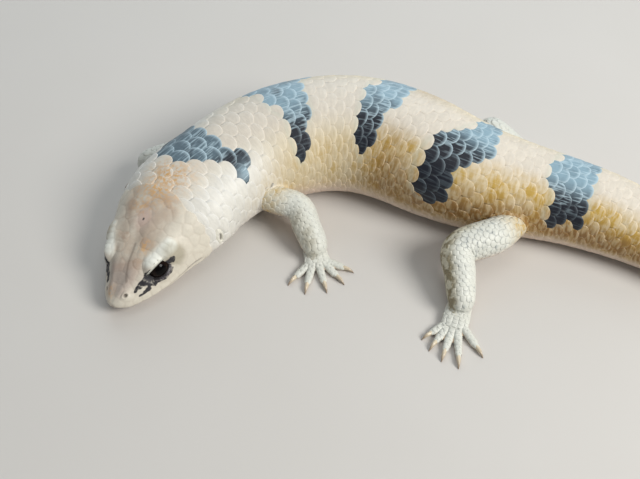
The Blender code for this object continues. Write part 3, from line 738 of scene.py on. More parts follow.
# The same along the body, in mm from the snout
REAR_FROM = (75, 128)
BROWN_FROM = (84, 108)
NECK_FROM, NECK_TO = (20, 26), (66, 48)
NAPE_DULL_TO = (54, 50)
HALO_FROM = (60, 66)
HALO_EDGE = (-BAND_HALO, -0.2)
HALO_INSIDE = 0.6

# Soft spots on the body: distance, angle, and reach along in mm and round in degrees
# A brown patch behind the middle band, painted shade where the flank turns away from the key light
BROWN_SHADE_PATCH = (106, 34, 6.5, 24)
# A painted highlight on the nape's band
NAPE_PAINTED_GLEAM = (47.8, 38, 3.5, 10)
NAPE_DUST = (32.5, 92, 4.6, 26)


def markings(along, angle):
    """The markings at places on the body: how much of each tint the scale there takes."""
    side = folded(angle)
    rear = ease(along, *REAR_FROM)
    reach, strength = (np.interp(along, *np.array(OCHRE_REACH).T[[0, i]]) for i in (1, 2))
    reach = reach - FAR_SIDE_LOWER * ease(angle, *FAR_SIDE_ROUND)
    # Brown low on the flanks and stronger behind: partly their own colour, partly painted shade and warm
    # bounce light
    brown_top = [front + (behind - front) * rear for front, behind in zip(BROWN_TOP, BROWN_TOP_BEHIND)]
    low = ease(side, *brown_top) * ease(side, *BROWN_FOOT) * ease(along, *BROWN_FROM)
    # A painted highlight on the nape, which also strengthens the pale streaks there
    gleam = spot(along, angle, *NAPE_PAINTED_GLEAM)
    fades = np.interp(along, *np.array(BAND_FADES).T)
    blue, streaks = ([edge + fades for edge in edges] for edges in (SKY_SHEEN_FROM_ROUND, STREAKS_FROM_ROUND))
    # Painted sky reflection on the tops of the bands, over their own slate blue
    top = ease(angle, *blue) * ease(angle, *SKY_SHEEN_TO_ROUND)
    top = top * (1 - 0.55 * ease(along, *NAPE_DULL_TO) * ease(angle, *NAPE_DULL_ROUND))
    band = in_band(along, angle)
    return {
        "back": ease(side, *BACK_FROM),
        "top": np.maximum(top, gleam),
        "streaky": np.maximum(0.08 + 0.52 * ease(angle, *streaks), 0.9 * gleam),
        "belly": ease(side, *BELLY_FROM),
        "ochre": ease(side, reach, reach - OCHRE_FADE) * ease(side, *OCHRE_FOOT) * strength,
        "brown": np.clip(low * (0.35 + 0.65 * rear) + 0.5 * spot(along, side, *BROWN_SHADE_PATCH), 0, 1),
        "band": (band > 0).astype(float),
        "halo": ease(band, *HALO_EDGE) * (band < HALO_INSIDE) * ease(along, *HALO_FROM),
        "warm": spot(along, angle, *NAPE_DUST),
        "neck": ease(along, *NECK_TO) * ease(along, *NECK_FROM) * ease(side, *NECK_TOP),
    }


# Scales of the body: first tip from the snout and how far the last stays off the tail's end in mm, length of
# a scale over the gap between rings, how far its middle lies ahead of its tip over its length, the same for
# the middle of what shows, how much wider than its share of the ring a scale is, and how far behind the
# shields' end the scales begin, in mm
FIRST_TIP = 14.0
LAST_TIP_OFF = 0.7
SCALE_LENGTH = 2.62
MIDDLE_AHEAD = 0.36
SEEN_AHEAD = 0.3
SCALE_OVERLAP = 1.08
BEHIND_SHIELDS = 0.5

# How unevenly the body's scales lie: turn, height over the coat's depth, slip in mm at one length, and width
TURNS = 0.018
LIFTS = (0.93, 1.0)
SLIPS, SLIPS_AT_LENGTH = 0.035, 2.6
WIDTHS = (0.98, 1.03)


def body_scales(sheet):
    """The scales of the neck, the torso and the tail as arrays, and which of them lie behind the shields."""
    table = {
        key: lambda s, i=i: smooth_through(SCALE_TABLE, s)[..., i] for i, key in enumerate(("gap", "width"))
    }
    found = {"tip": [], "around": [], "half": [], "length": []}
    for number, at in scale_rings(FIRST_TIP, LENGTH - LAST_TIP_OFF, table["gap"]):
        girth = float(np.interp(at, sheet["at"], sheet["girth"]))
        middle, half = rows_round(girth, float(table["width"](at)), number % 2)
        left, whole = middle > 0.01, middle < girth - 0.01
        around = np.concatenate([middle, -middle[left & whole]])
        found["tip"].append(np.full(len(around), at))
        found["around"].append(around)
        found["half"].append(np.concatenate([half, half[left & whole]]) * SCALE_OVERLAP)
        found["length"].append(np.full(len(around), SCALE_LENGTH * float(table["gap"](at))))
    scales = {key: np.concatenate(value) for key, value in found.items()}
    many = len(scales["tip"])
    scales["tone"] = draw.uniform(-1, 1, many)
    scales["turn"] = draw.normal(0, TURNS, many)
    scales["lift"] = draw.uniform(*LIFTS, many)
    scales["tip"] = scales["tip"] + draw.normal(0, SLIPS, many) * scales["length"] / SLIPS_AT_LENGTH
    scales["half"] = scales["half"] * draw.uniform(*WIDTHS, many)
    middle_at = scales["tip"] - MIDDLE_AHEAD * scales["length"]
    _, _, angle = lay_on(sheet, middle_at, scales["around"])
    scales["band"] = (in_band(middle_at, angle) > 0).astype(float)
    scales["taper"] = table["width"]
    shields_end = np.interp(folded(angle), *np.array(SHIELDS_END, float).T)
    return scales, scales["tip"] > shields_end + BEHIND_SHIELDS


def chosen(scales, keep):
    """The scales that keep picks, with everything that they hold."""
    picked = {key: value[keep] for key, value in scales.items() if isinstance(value, np.ndarray)}
    if "taper" in scales:
        picked["taper"] = scales["taper"]
    return picked


# Limbs

LEG_RINGS, PALM_RINGS, TOE_RINGS, CLAW_RINGS = 70, 26, 18, 16


def rounded_end(rows):
    """The rows of a tube with more that close its far end in a half ball."""
    ahead = unit(rows[-1, :3] - rows[-2, :3])
    half = rows[-1, 3]
    turns = np.linspace(0.25, 1.5, 6)
    more = [(*(rows[-1, :3] + ahead * half * math.sin(t)), half * math.cos(t), rows[-1, 4]) for t in turns]
    return np.vstack([rows, more])


def limb_sheets(leg):
    """The sheets of a leg, its palm and its toes, and the rows of its claws."""
    _, heading, length, half, toes, spread = FEET[leg]
    heading = math.radians(heading)
    ahead = np.array([math.cos(heading), math.sin(heading), 0])
    across = np.array([-ahead[1], ahead[0], 0])
    joints = np.array(LEGS[leg], float)
    rows = np.column_stack([beside_spine(joints[:, :3]), joints[:, 3], np.ones(len(joints))])
    heel = rows[-1, :3] * (1, 1, 0)
    ankle_half = rows[-1, 3]
    for along, height, share in INSTEP:
        rows = np.vstack([rows, (*(heel + ahead * along)[:2], height, ankle_half * share, 1)])
    palm = [(*(heel + ahead * along * length)[:2], half * share * flat, half * share, flat)
            for along, share, flat in PALM_SHAPE]
    sheets = {"leg": tube_sheet(rounded_end(curve_through(rows, LEG_RINGS)), LIMB_COAT)}
    sheets["palm"] = tube_sheet(rounded_end(curve_through(palm, PALM_RINGS)[::-1])[::-1], LIMB_COAT)
    claws = []
    height = TOE_RADIUS * TOE_FLATNESS
    for number, (reach, turn) in enumerate(zip(toes, spread), 1):
        turn = math.radians(turn)
        root = heel + ahead * (length - TOE_ROOT / 2) + across * (half * TOE_SPACING * math.sin(turn))
        way = np.array([math.cos(heading + turn), math.sin(heading + turn), 0])
        reach = reach + TOE_ROOT
        toe = [(-TOE_ROOT, *TOE_START)] + [(share * reach, up, wide) for share, up, wide in TOE_SHAPE]
        claw = [(reach + share * CLAW_LENGTH, up, wide) for share, up, wide in CLAW_SHAPE]
        claw = [(reach - CLAW_ROOT, *CLAW_START)] + claw
        toe, claw = (
            np.array(
                [(*(root + way * along)[:2], height * up, radius * wide, flat) for along, up, wide in shape]
            )
            for shape, radius, flat in ((toe, TOE_RADIUS, TOE_FLATNESS), (claw, CLAW_RADIUS, CLAW_HEIGHT))
        )
        sheets[f"toe_{number}"] = tube_sheet(rounded_end(curve_through(toe, TOE_RINGS)), LIMB_COAT)
        claws.append(curve_through(claw, CLAW_RINGS))
    return sheets, claws


# Scales of a limb, in mm: gap between rings and how much finer it ends, width of a scale and how much
# narrower it ends, place of the first ring, and how far the last lies past the sheet's end. Then where they
# are finer, how far they overlap sideways and along, and how unevenly they lie: turn, height and slip
LIMB_SCALES = {
    "leg": (1.2, 0.25, 2.05, 0.45, 2, 0),
    "palm": (0.95, 0, 1.5, 0, 1, -1),
    "toe": (0.82, 0, 2.4, 0, 1, 0.2),
}
LIMB_FINER_FROM = (12, 40)
LIMB_WIDENING, LIMB_OVERLAP = 0.54, 2.5
LIMB_TURNS, LIMB_LIFTS, LIMB_SLIPS = 0.04, (0.92, 1.0), 0.03


def limb_scales(sheet, kind):
    """Scales in rings on the sheet of a leg, a palm or a toe, as many round as the girth takes."""
    wide_gap, finer, broad, narrower, first, past = LIMB_SCALES[kind]

    def gap(at):
        return wide_gap - finer * ease(at, *LIMB_FINER_FROM)

    found = {"tip": [], "around": [], "half": [], "length": []}
    for number, at in scale_rings(first, sheet["at"][-1] + past, gap):
        girth = float(np.interp(at, sheet["at"], sheet["girth"]))
        many = max(2, round(2 * girth / (broad - narrower * ease(at, *LIMB_FINER_FROM))))
        step = 2 * girth / many
        around = -girth + step * (np.arange(many) + (number % 2) / 2)
        found["tip"].append(np.full(many, at))
        found["around"].append(around)
        found["half"].append(np.full(many, step * LIMB_WIDENING))
        found["length"].append(np.full(many, LIMB_OVERLAP * gap(at)))
    scales = {key: np.concatenate(value) for key, value in found.items()}
    many = len(scales["tip"])
    scales["tone"] = draw.uniform(-1, 1, many)
    scales["turn"] = draw.normal(0, LIMB_TURNS, many)
    scales["lift"] = draw.uniform(*LIMB_LIFTS, many)
    scales["tip"] = scales["tip"] + draw.normal(0, LIMB_SLIPS, many)
    scales["band"] = np.zeros(many)
    return scales


# Tints of the legs: yellow near the body, where it ends and begins to fade in mm, olive on the side to the
# head, partly its own colour and partly painted shade away from the key light, and small grey ticks
LEG_TINTS = {
    "foreleg_left": (0.75, 17.0, 10.0, 0.3, 0.3),
    "foreleg_right": (0.4, 14.0, 8.0, 0.0, 0.0),
    "hindleg_left": (0.8, 15.5, 8.5, 0.8, 1.0),
    "hindleg_right": (0.4, 14.0, 8.0, 0.0, 0.0),
}

# Where a leg's tints start and are full: degrees round it or mm along it, and the share of the ticks on its
# foot
LEG_TOP_FROM = (140, 80)
OLIVE_SHADE_SIDE, OLIVE_SHADE_FROM = (-10, 35), (16, 24)
TICKS_FROM = (12, 16)
TICKS_ON_FOOT = 0.35


def limb_tint(leg, on_foot):
    """The markings of a leg, or of its foot."""
    yellow, ends, fades, olive, ticks = LEG_TINTS[leg]

    def tint(along, angle):
        top = ease(np.abs(angle), *LEG_TOP_FROM)
        return {
            "back": top,
            "belly": 1 - top,
            "ochre": yellow * ease(along, ends, fades) * (not on_foot),
            # Olive on the side to the head, partly its own colour and partly painted shade away from the key
            # light
            "olive": olive * ease(-angle, *OLIVE_SHADE_SIDE) * ease(along, *OLIVE_SHADE_FROM) * (not on_foot),
            "ticks": ticks * top * ease(along, *TICKS_FROM) * (TICKS_ON_FOOT if on_foot else 1.0),
        }

    return tint


# The skin under the scales

# Size of its voxels in mm, points round the trunk, points of a limb's ring to one of the skin's, reach of
# the creases between trunk and limbs in mm, rounds of smoothing there and all over, where the head's skin
# sinks, and floor and edge of the eye's socket
SKIN_VOXEL = 0.46
SKIN_ANGLES = 180
LIMB_STRIDE = 10
CREASE_REACH = (2.6, 0.6)
CREASE_ROUNDS, CALM_ROUNDS = 22, 2
HEAD_SINK_FROM = (29, 25)
SOCKET_IN_SKIN = (2.3, 1.7)

# Steps along and round the sheet at which the skin looks its markings up
SHEET_STEP, SHEET_STRIDE = 2, 6


def make_skin(limbs):
    """One skin for the body and the limbs, with the creases where they meet smoothed."""
    snout = 4 * (1 - np.cos(np.linspace(0.12, math.pi / 2, 12)))
    at = np.concatenate([snout, np.arange(4.5, LENGTH - 0.2, 0.5)])
    angles = np.linspace(-180, 180, SKIN_ANGLES, endpoint=False)
    sink = COAT + HEAD_SINK * ease(at, *HEAD_SINK_FROM)[:, None]
    sink = sink + (EAR_DEPTH + HOLLOW_DEEPER) * ease(from_ear(at[:, None], angles[None, :]), *HOLLOW_REACH)
    local = eye_hollow(body_shape(at, angles, sink), *SOCKET_IN_SKIN)
    rings = beside_spine(local)
    rings[..., 2] = np.maximum(rings[..., 2], COAT)
    trunk = loft("trunk", rings)
    parts = [trunk]
    for sheets in limbs.values():
        for key, sheet in sheets.items():
            parts.append(loft(key, sheet["points"][:, :-1:LIMB_STRIDE]))
    trees = [tree_of(trunk), tree_of(*parts[1:])]
    maker = bmesh.new()
    for part in parts:
        maker.from_mesh(part.data)
        bpy.data.objects.remove(part)
    mesh = bpy.data.meshes.new("skin")
    maker.to_mesh(mesh)
    maker.free()
    skin = link_thing("skin", mesh)
    remesh = skin.modifiers.new("one", "REMESH")
    remesh.mode = "VOXEL"
    remesh.voxel_size = SKIN_VOXEL * MM
    apply_modifiers(skin)
    places = points_of(skin)
    near = np.array([[tree.find_nearest(Vector(place))[3] for tree in trees] for place in places * MM]) / MM
    crease = np.round(ease(near.max(axis=1), *CREASE_REACH), 1)
    group = skin.vertex_groups.new(name="crease")
    for weight in np.unique(crease[crease > 0]):
        group.add(np.nonzero(crease == weight)[0].tolist(), float(weight), "REPLACE")
    melt = skin.modifiers.new("melt", "SMOOTH")
    melt.vertex_group = "crease"
    melt.factor = 0.5
    melt.iterations = CREASE_ROUNDS
    calm = skin.modifiers.new("calm", "SMOOTH")
    calm.factor = 0.5
    calm.iterations = CALM_ROUNDS
    apply_modifiers(skin)
    skin.vertex_groups.clear()
    skin.data.shade_smooth()
    return skin


def apply_modifiers(piece):
    """Turns the piece's mesh into what its modifiers make of it."""
    graph = bpy.context.evaluated_depsgraph_get()
    graph.update()
    result = bpy.data.meshes.new_from_object(piece.evaluated_get(graph))
    piece.modifiers.clear()
    piece.data = result


def points_of(piece):
    """The piece's points in mm."""
    places = np.empty(len(piece.data.vertices) * 3)
    piece.data.vertices.foreach_get("co", places)
    return places.reshape(-1, 3) / MM


def tree_of(*pieces):
    """A search tree over the faces of the pieces, in metres."""
    maker = bmesh.new()
    for piece in pieces:
        maker.from_mesh(piece.data)
    tree = BVHTree.FromBMesh(maker)
    maker.free()
    return tree


# A point this near the skin in mm stays, over how many more it is drawn fully on to it, and how far it turns
# with it
SETTLED = 0.08
SETTLES_OVER = 0.15
SETTLED_TURN = 1.5


def settler(tree, most):
    """A function that draws points laid on a sheet on to the skin in the tree, where the two differ."""

    def settle(points, out):
        flat, ways = points.reshape(-1, 3).copy(), out.reshape(-1, 3).copy()
        for i, place in enumerate(flat):
            found, normal, _, away = tree.find_nearest(Vector(place * MM))
            away = away / MM
            if SETTLED < away < most:
                share = min(1.0, (away - SETTLED) / SETTLES_OVER)
                flat[i] = place + (np.array(found) / MM - place) * share
                ways[i] = ways[i] + np.array(normal) * share * SETTLED_TURN
        return flat.reshape(points.shape), unit(ways).reshape(out.shape)

    return settle


def on_skin(sheet, scales, tree, most):
    """Which scales lie within a distance of the skin that the tree holds, taken at their visible middle."""
    point, _, _ = lay_on(sheet, scales["tip"] - SEEN_AHEAD * scales["length"], scales["around"])
    return np.array([tree.find_nearest(Vector(place * MM))[3] / MM < most for place in point])


# Head: shields, mouth, nostrils, lids and eyes

# Opening between the lids: half its length and height as angles from the eye's axis, how pointed it is, how
# far from the eye's middle it counts in mm, and how softly its edge fades
EYE_LONG, EYE_HIGH = math.radians(78), math.radians(31)
ALMOND_POWER = 1.7
ALMOND_REACH = 4.7
OPENING_FADE = 0.25


def eye_frame():
    """Axes at the left eye in the body's own coordinates: along the head, up the lids, and out of the eye."""
    out = unit(np.array([-EYE_LOOKS_AHEAD, 1, EYE_LOOKS_UP]))
    along = unit(np.array([1.0, 0, 0]) - out * out[0])
    up = np.cross(along, out)
    tilt = math.radians(EYE_TILT)
    return along * math.cos(tilt) + up * math.sin(tilt), up * math.cos(tilt) - along * math.sin(tilt), out


def on_left(local):
    """The local places with those on the right side mirrored to the left."""
    return local * np.array([1, 0, 1]) + np.abs(local) * np.array([0, 1, 0])


def eye_view(local):
    """(angle along, angle up, distance) from the nearer eye's middle, with angles from the eye's axis."""
    along, up, out = eye_frame()
    away = on_left(local) - np.array(EYE_AT)
    distance = np.linalg.norm(away, axis=-1)
    x, y, z = away @ along, away @ up, away @ out
    polar = np.arctan2(np.hypot(x, y), z)
    turn = np.arctan2(y, x)
    return polar * np.cos(turn), polar * np.sin(turn), distance


def almond(local):
    """Where a place lies against the opening between the lids: 1 at the margin, less inside it."""
    along, up, distance = eye_view(local)
    inside = (np.abs(along) / EYE_LONG) ** 2 + (np.abs(up) / EYE_HIGH) ** ALMOND_POWER
    return np.where(distance > ALMOND_REACH, 9.0, inside)


def eye_hollow(local, floor, edge):
    """The local places with those in the opening of the eye pushed in behind the ball."""
    share = ease(almond(local), edge + OPENING_FADE, edge)[..., None]
    side = np.where(local[..., 1:2] < 0, -1.0, 1.0) * np.array([0, 1, 0]) + np.array([1, 0, 1])
    centre = np.array(EYE_AT) * side
    away = local - centre
    pushed = centre + unit(away) * np.minimum(np.linalg.norm(away, axis=-1, keepdims=True), floor)
    return local + (pushed - local) * share


# Shields of the head's left half: distance and angle of the points that each one gathers round
SHIELDS = {
    "rostral": ((0.4, 90), (0.5, 40), (0.9, 12), (0.9, 60)),
    "mental": ((0.9, -50), (1.4, -75), (1.6, -90)),
    "supranasal": ((2.6, 66), (3.3, 74)),
    "nasal": ((2.7, 38), (3.2, 30)),
    "postnasal": ((4.7, 42),),
    "frontonasal": ((5.4, 90), (5.6, 78)),
    "prefrontal": ((8.0, 70), (7.6, 58), (8.6, 78)),
    "frontal": ((10.6, 90), (11.4, 83), (12.8, 86), (14.2, 90), (15.4, 90)),
    "frontoparietal": ((17.6, 79), (18.6, 74)),
    "interparietal": ((19.6, 90), (21.2, 90)),
    "parietal": ((20.6, 66), (22.4, 72), (24.4, 80), (22.6, 60)),
    "nuchal": ((27.0, 80), (26.8, 70), (26.4, 61)),
    "supraocular 1": ((9.8, 60), (10.0, 52)),
    "supraocular 2": ((12.3, 62), (12.3, 52)),
    "supraocular 3": ((14.8, 64), (14.9, 53)),
    "supraocular 4": ((17.0, 62), (17.2, 52)),
    "loreal 1": ((6.2, 34), (6.3, 22)),
    "loreal 2": ((8.0, 38), (7.9, 20)),
    "preocular": ((8.9, 22),),
    "postocular 1": ((17.6, 32),),
    "postocular 2": ((17.4, 19),),
    "temporal 1": ((19.8, 24), (20.4, 18)),
    "temporal 2": ((20.4, 44), (21.2, 42)),
    "temporal 3": ((22.8, 30),),
    "temporal 4": ((22.6, 16),),
    "temporal 5": ((23.8, 46), (24.6, 50)),
    "temporal 6": ((25.2, 36),),
    "temporal 7": ((25.2, 22),),
    "temporal 8": ((24.4, 7),),
    "cheek 1": ((22.6, 2),),
    "cheek 2": ((24.0, -9),),
    "cheek 3": ((21.8, -14),),
    "cheek 4": ((19.4, -22),),
    "chin 1": ((4.0, -74), (3.6, -62)),
    "chin 2": ((6.8, -72), (7.0, -60)),
    "chin 3": ((10.2, -70), (10.4, -58)),
    "chin middle": ((3.4, -90), (4.6, -90)),
    "throat 1": ((13.0, -60),),
    "throat 2": ((12.4, -82),),
    "throat 3": ((9.2, -90),),
    "throat 4": ((16.2, -46),),
    "throat 5": ((18.4, -36),),
}

# Rows of small shields: distances along the row and the angle, or the rise over the mouth line in mm
BROW_SCALES = (8.9, 10.2, 11.6, 13.0, 14.4, 15.8, 17.1)
UPPER_LIPS = (2.4, 4.3, 6.4, 8.7, 11.2, 13.8, 16.6, 19.3, 21.6)
LOWER_LIPS = (3.0, 5.2, 7.7, 10.4, 13.2, 16.0, 18.8)
UNDER_EYE = ((9.6, 10), (11.4, 4), (13.4, 3), (15.4, 7), (16.8, 10))
BROW_ANGLE, BROW_ARCH, BROW_MIDDLE = 42.5, 0.35, 13
UPPER_LIP_RISE = 1.15
LOWER_LIP_DROP = 1.25
LIP_TIP_SHARE, LIP_TIP_ENDS = 0.75, 4

# Edge to the neck: its distance behind the line where the scales take over, its waves, the rows that fill
# the neck, how far the shields drop behind it, and where they start and end to cover the skin, in mm
NECK_STEP = 2.0
NECK_WAVE, NECK_WAVES = 0.5, 0.42
NECK_FILLS = (3, 6)
NECK_DROP = 0.3
SHIELDS_COVER = (-0.1, 0.22)

# Shields: height over the skin in mm, width and depth of the grooves between them in mm, width of their
# tint, the least share of the depth, how large the smallest shield counts and how that grows with each mm,
# how far the middles swell, and where the tip of the snout turns to look ahead
SHIELD_TOP = 0.36
GROOVE_WIDTH = 0.38
GROOVE_DEPTH = 0.075
GROOVE_TINT_WIDTH = 0.5
GROOVE_LEAST = 0.6
SMALL_SHIELD, SHIELD_GROWS = 0.35, 0.25
SHIELD_SWELL, SHIELD_SWELLS_OVER = 0.05, (0.4, 3.0)
SNOUT_TIP = (0.25, 0.03)
SNOUT_WAY = np.array([-1.0, 0, 0])

# Lips and mouth: height and distance of the lips from the line of the mouth and their width, and the slit
LIP_SWELL, LIP_APART, LIP_WIDTH = 0.14, 0.75, 0.45
SLIT_DEPTH, SLIT_WIDTH = 0.5, 0.24
MOUTH_SIDES = 62

# Nostril: distance and angle, radius and depth in mm, stretch of its shape, the bore's edge and floor over
# the radius, the collar's height in mm, its place over the radius and its width in mm. Then the opening for
# the eye
NOSTRIL_AT = (2.9, 36)
NOSTRIL_RADIUS = 0.52
NOSTRIL_DEPTH = 0.64
NOSTRIL_STRETCH = np.array([0.8, 1, 1.1])
BORE_REACH = (1.05, 0.55)
COLLAR, COLLAR_AT, COLLAR_WIDTH = 0.07, 1.35, 0.22
EYE_IN_SHIELDS = (2.7, 1.2)


def mirrored(distance, angle):
    """The same place on the right side."""
    return distance, 180 - angle if angle > 0 else -180 - angle


def angle_at_height(distance, height):
    """The angle on the left side where the body's surface has this height, in its own coordinates."""
    angles = np.arange(-80.0, 60.0, 0.5)
    heights = body_shape([distance], angles, COAT)[0, :, 2]
    return float(np.interp(height, heights, angles))


def mouth_height(distance):
    """Height of the mouth line at distances from the snout."""
    return smooth_through(MOUTH, distance)[..., 0]


def shield_sites():
    """The places that shields gather round, in the body's coordinates, each one's shield, and the neck's."""
    groups = [list(places) for places in SHIELDS.values()]
    groups += [[(at, BROW_ANGLE - BROW_ARCH * abs(at - BROW_MIDDLE))] for at in BROW_SCALES]
    for at in UPPER_LIPS:
        rise = UPPER_LIP_RISE * (LIP_TIP_SHARE if at < LIP_TIP_ENDS else 1)
        groups.append([(at, angle_at_height(at, mouth_height(at) + rise))])
    groups += [[(at, angle_at_height(at, mouth_height(at) - LOWER_LIP_DROP))] for at in LOWER_LIPS]
    groups += [[place] for place in UNDER_EYE]
    places, owners, number = [], [], 0
    for members in groups:
        on_midline = abs(members[0][1]) == 90
        for side in (members, [mirrored(*member) for member in members]):
            places += side
            owners += [number] * len(side)
            number += not on_midline
        number += on_midline
    edge = np.array(SHIELDS_END, float)
    for angle in np.arange(-90, 91, 5.0):
        at = float(np.interp(angle, edge[:, 0], edge[:, 1])) + NECK_STEP
        for more in (NECK_WAVE * math.sin(angle * NECK_WAVES), *NECK_FILLS):
            places += [(at + more, angle), mirrored(at + more, angle)]
            owners += [number, number]
    local = np.array([body_shape([s], [a], COAT)[0, 0] for s, a in places])
    return local, np.array(owners), number


def shield_plan(local):
    """The number of shields, and each place's shield, how deep it lies in it, and how far shields cover it."""
    sites, owners, neck = shield_sites()
    flat = local.reshape(-1, 3)
    away = np.full((owners.max() + 1, len(flat)), 99.0, np.float32)
    for place, owner in zip(sites, owners):
        away[owner] = np.minimum(away[owner], np.linalg.norm(flat - place, axis=1))
    nearest = np.partition(away, 1, axis=0)[:2]
    own = np.delete(away, neck, axis=0).min(axis=0)
    grids = (away.argmin(axis=0), nearest[1] - nearest[0], ease(away[neck] - own, *SHIELDS_COVER))
    return len(away), *(grid.reshape(local.shape[:2]) for grid in grids)


def with_face(height, local, angle, mouth, from_nostril):
    """The height over the skin with the lips, the mouth's slit, the nostrils and the cups of the ears."""
    s = local[..., 0]
    closed = ease(s, MOUTH_CORNER[1], MOUTH_CORNER[0]) * (folded(angle) < MOUTH_SIDES)
    lips = LIP_SWELL * np.exp(-(((np.abs(mouth) - LIP_APART) / LIP_WIDTH) ** 2)) * closed
    slit = SLIT_DEPTH * np.exp(-((mouth / SLIT_WIDTH) ** 2)) * closed
    bore = NOSTRIL_DEPTH * ease(from_nostril, *(NOSTRIL_RADIUS * reach for reach in BORE_REACH))
    cup = EAR_DEPTH * ease(from_ear(s, angle), *CUP_REACH)
    collar = COLLAR * np.exp(-(((from_nostril - NOSTRIL_RADIUS * COLLAR_AT) / COLLAR_WIDTH) ** 2))
    return height + lips - slit - bore - cup + collar


def make_head_shields():
    """The shields of the head with their grooves, the lips, the nostrils and the openings of the eyes."""
    at = np.concatenate([
        SNOUT_ROUND * (1 - np.cos(np.linspace(0.03, math.pi / 2, 34))),
        np.arange(4.12, 19, 0.15),
        np.arange(19, 33.4, 0.19),
    ])
    shape = body_shape(at, BODY_ANGLES, COAT)
    local, angle, _ = even_round(shape, BODY_ANGLES)
    local, angle = local[:, :-1], angle[:, :-1]
    out = normals_of(np.concatenate([local, local[:, :1]], axis=1))[:, :-1]
    tip = ease(at, *SNOUT_TIP)[:, None, None]
    out = unit(out * (1 - tip) + SNOUT_WAY * tip)
    many, owner, edge, cover = shield_plan(local)
    deep = GROOVE_LEAST + (1 - GROOVE_LEAST) * np.minimum(1.0, SMALL_SHIELD + SHIELD_GROWS * edge)
    height = SHIELD_TOP - GROOVE_DEPTH * np.exp(-((edge / GROOVE_WIDTH) ** 2)) * deep
    height = height + SHIELD_SWELL * ease(edge, *SHIELD_SWELLS_OVER)
    height = height * cover - NECK_DROP * (1 - cover)
    mouth = local[..., 2] - mouth_height(local[..., 0])
    nostril = body_shape([NOSTRIL_AT[0]], [NOSTRIL_AT[1]], COAT)[0, 0]
    from_nostril = np.linalg.norm((on_left(local) - nostril) * NOSTRIL_STRETCH, axis=-1)
    height = with_face(height, local, angle, mouth, from_nostril)
    places = beside_spine(eye_hollow(local + out * height[..., None], *EYE_IN_SHIELDS))
    places[..., 2] = np.maximum(places[..., 2], 0.0)
    rows, columns = local.shape[:2]
    faces = grid_faces(rows, columns, True)
    cap = np.arange(columns)[::-1]
    counts = np.concatenate([np.full(len(faces), 4), [columns]])
    piece = new_piece("head_shields", places, np.concatenate([faces.ravel(), cap]), counts)
    tones = draw.uniform(-1, 1, many)
    marks = head_marks(local, angle, from_nostril, mouth)
    marks["groove"] = np.exp(-((edge / GROOVE_TINT_WIDTH) ** 2))
    add_values(piece, tone=tones[owner], **marks)
    u = BAKE_MARGIN + (1 - 2 * BAKE_MARGIN) * (at - at[0]) / (at[-1] - at[0])
    v = np.linspace(BAKE_MARGIN, 1 - BAKE_MARGIN, columns)
    add_bake_map(piece, np.stack(np.meshgrid(u, v, indexing="ij"), axis=-1).reshape(-1, 2))
    return piece


# Dark marks round the eye and on the lips: first and last place as distance and angle, reach in mm, and
# strength
DARK_MARKS = (
    ((9.4, 33), (8.6, 28), 1.15, 1.0),
    ((8.6, 28), (7.4, 25), 1.0, 1.0),
    ((7.1, 27.5), (6.5, 21), 0.95, 1.0),
    ((6.0, 25), (5.2, 21), 0.75, 0.95),
    ((7.6, 19), (8.2, 14), 0.75, 0.9),
    ((8.9, 24), (8.5, 17), 0.75, 0.85),
    ((8.6, 12), (9.2, 6), 0.7, 0.8),
    ((7.5, 9), (7.5, 5.5), 0.9, 0.95),
    ((6.5, 7.5), (6.4, 5.5), 0.85, 0.95),
    ((5.4, 6.5), (5.5, 5.5), 0.75, 0.9),
    ((9.6, 10), (10.8, 10), 0.8, 0.75),
    ((11.6, 8.5), (12.8, 11), 0.75, 0.75),
    ((13.5, 9.5), (14.2, 13), 0.75, 0.65),
    ((14.4, 18), (15.2, 22), 1.0, 0.95),
    ((14.9, 24.6), (15.3, 23), 0.9, 0.95),
)

# Painted shadow line along a shield's edge on the left of the snout, as places along it and its reach in mm
SNOUT_FOLD_SHADOW = ((14.0, 85.5), (12.0, 83.5), (9.5, 82.0), (7.0, 73.0), (5.5, 62.5))
FOLD_SHADOW_REACH = 0.6

# White brow, brightened by a painted highlight, and painted olive shadow behind the eye: first and last place,
# and reach in mm
BROW_LINE = ((11.4, 43.5), (17.2, 36.5), 2.0)
SHADE_LINE = ((17.0, 20), (16.0, 28), 3.8)

# Where the head's tints start and are full, in mm from the snout or in degrees up its side
CROWN_SIDES, CROWN_FRONT, CROWN_REAR = (40, 62), (3.0, 9.0), (31, 25)
MAUVE_REAR, MAUVE_SIDES, MAUVE_FRONT = (12, 6), (20, 60), (0.5, 3.0)
THROAT_FROM = (-14, -40)
MOUTH_TINT_WIDTH = 0.22

# Soft spots on the head: distance, angle, and reach along in mm and round in degrees
EYELET = (20.0, 90, 0.42, 2.2)
EYELET_BLUSH = (20.2, 90, 2.4, 13)
WARM_SPOTS = (
    (1.0, (29.0, 92, 4.0, 30)),
    (0.8, (13.9, 65, 1.5, 10)),
    (0.6, (16.6, 148, 2.2, 9)),
    (0.5, (22.6, 100, 1.8, 16)),
    (0.5, (2.4, 120, 1.6, 26)),
)
DEGREE_OF_HEAD = 0.16


def near_line(along, angle, first, last, reach):
    """1 on a line between two places given as distance and angle, falling to 0 at the reach in mm."""
    scale = np.array([1.0, DEGREE_OF_HEAD])
    start, end = np.array(first) * scale, np.array(last) * scale
    place = np.stack([along, angle], axis=-1) * scale
    way = end - start
    share = np.clip((place - start) @ way / (way @ way + 1e-9), 0, 1)
    return ease(np.linalg.norm(place - start - share[..., None] * way, axis=-1), reach, reach * 0.35)


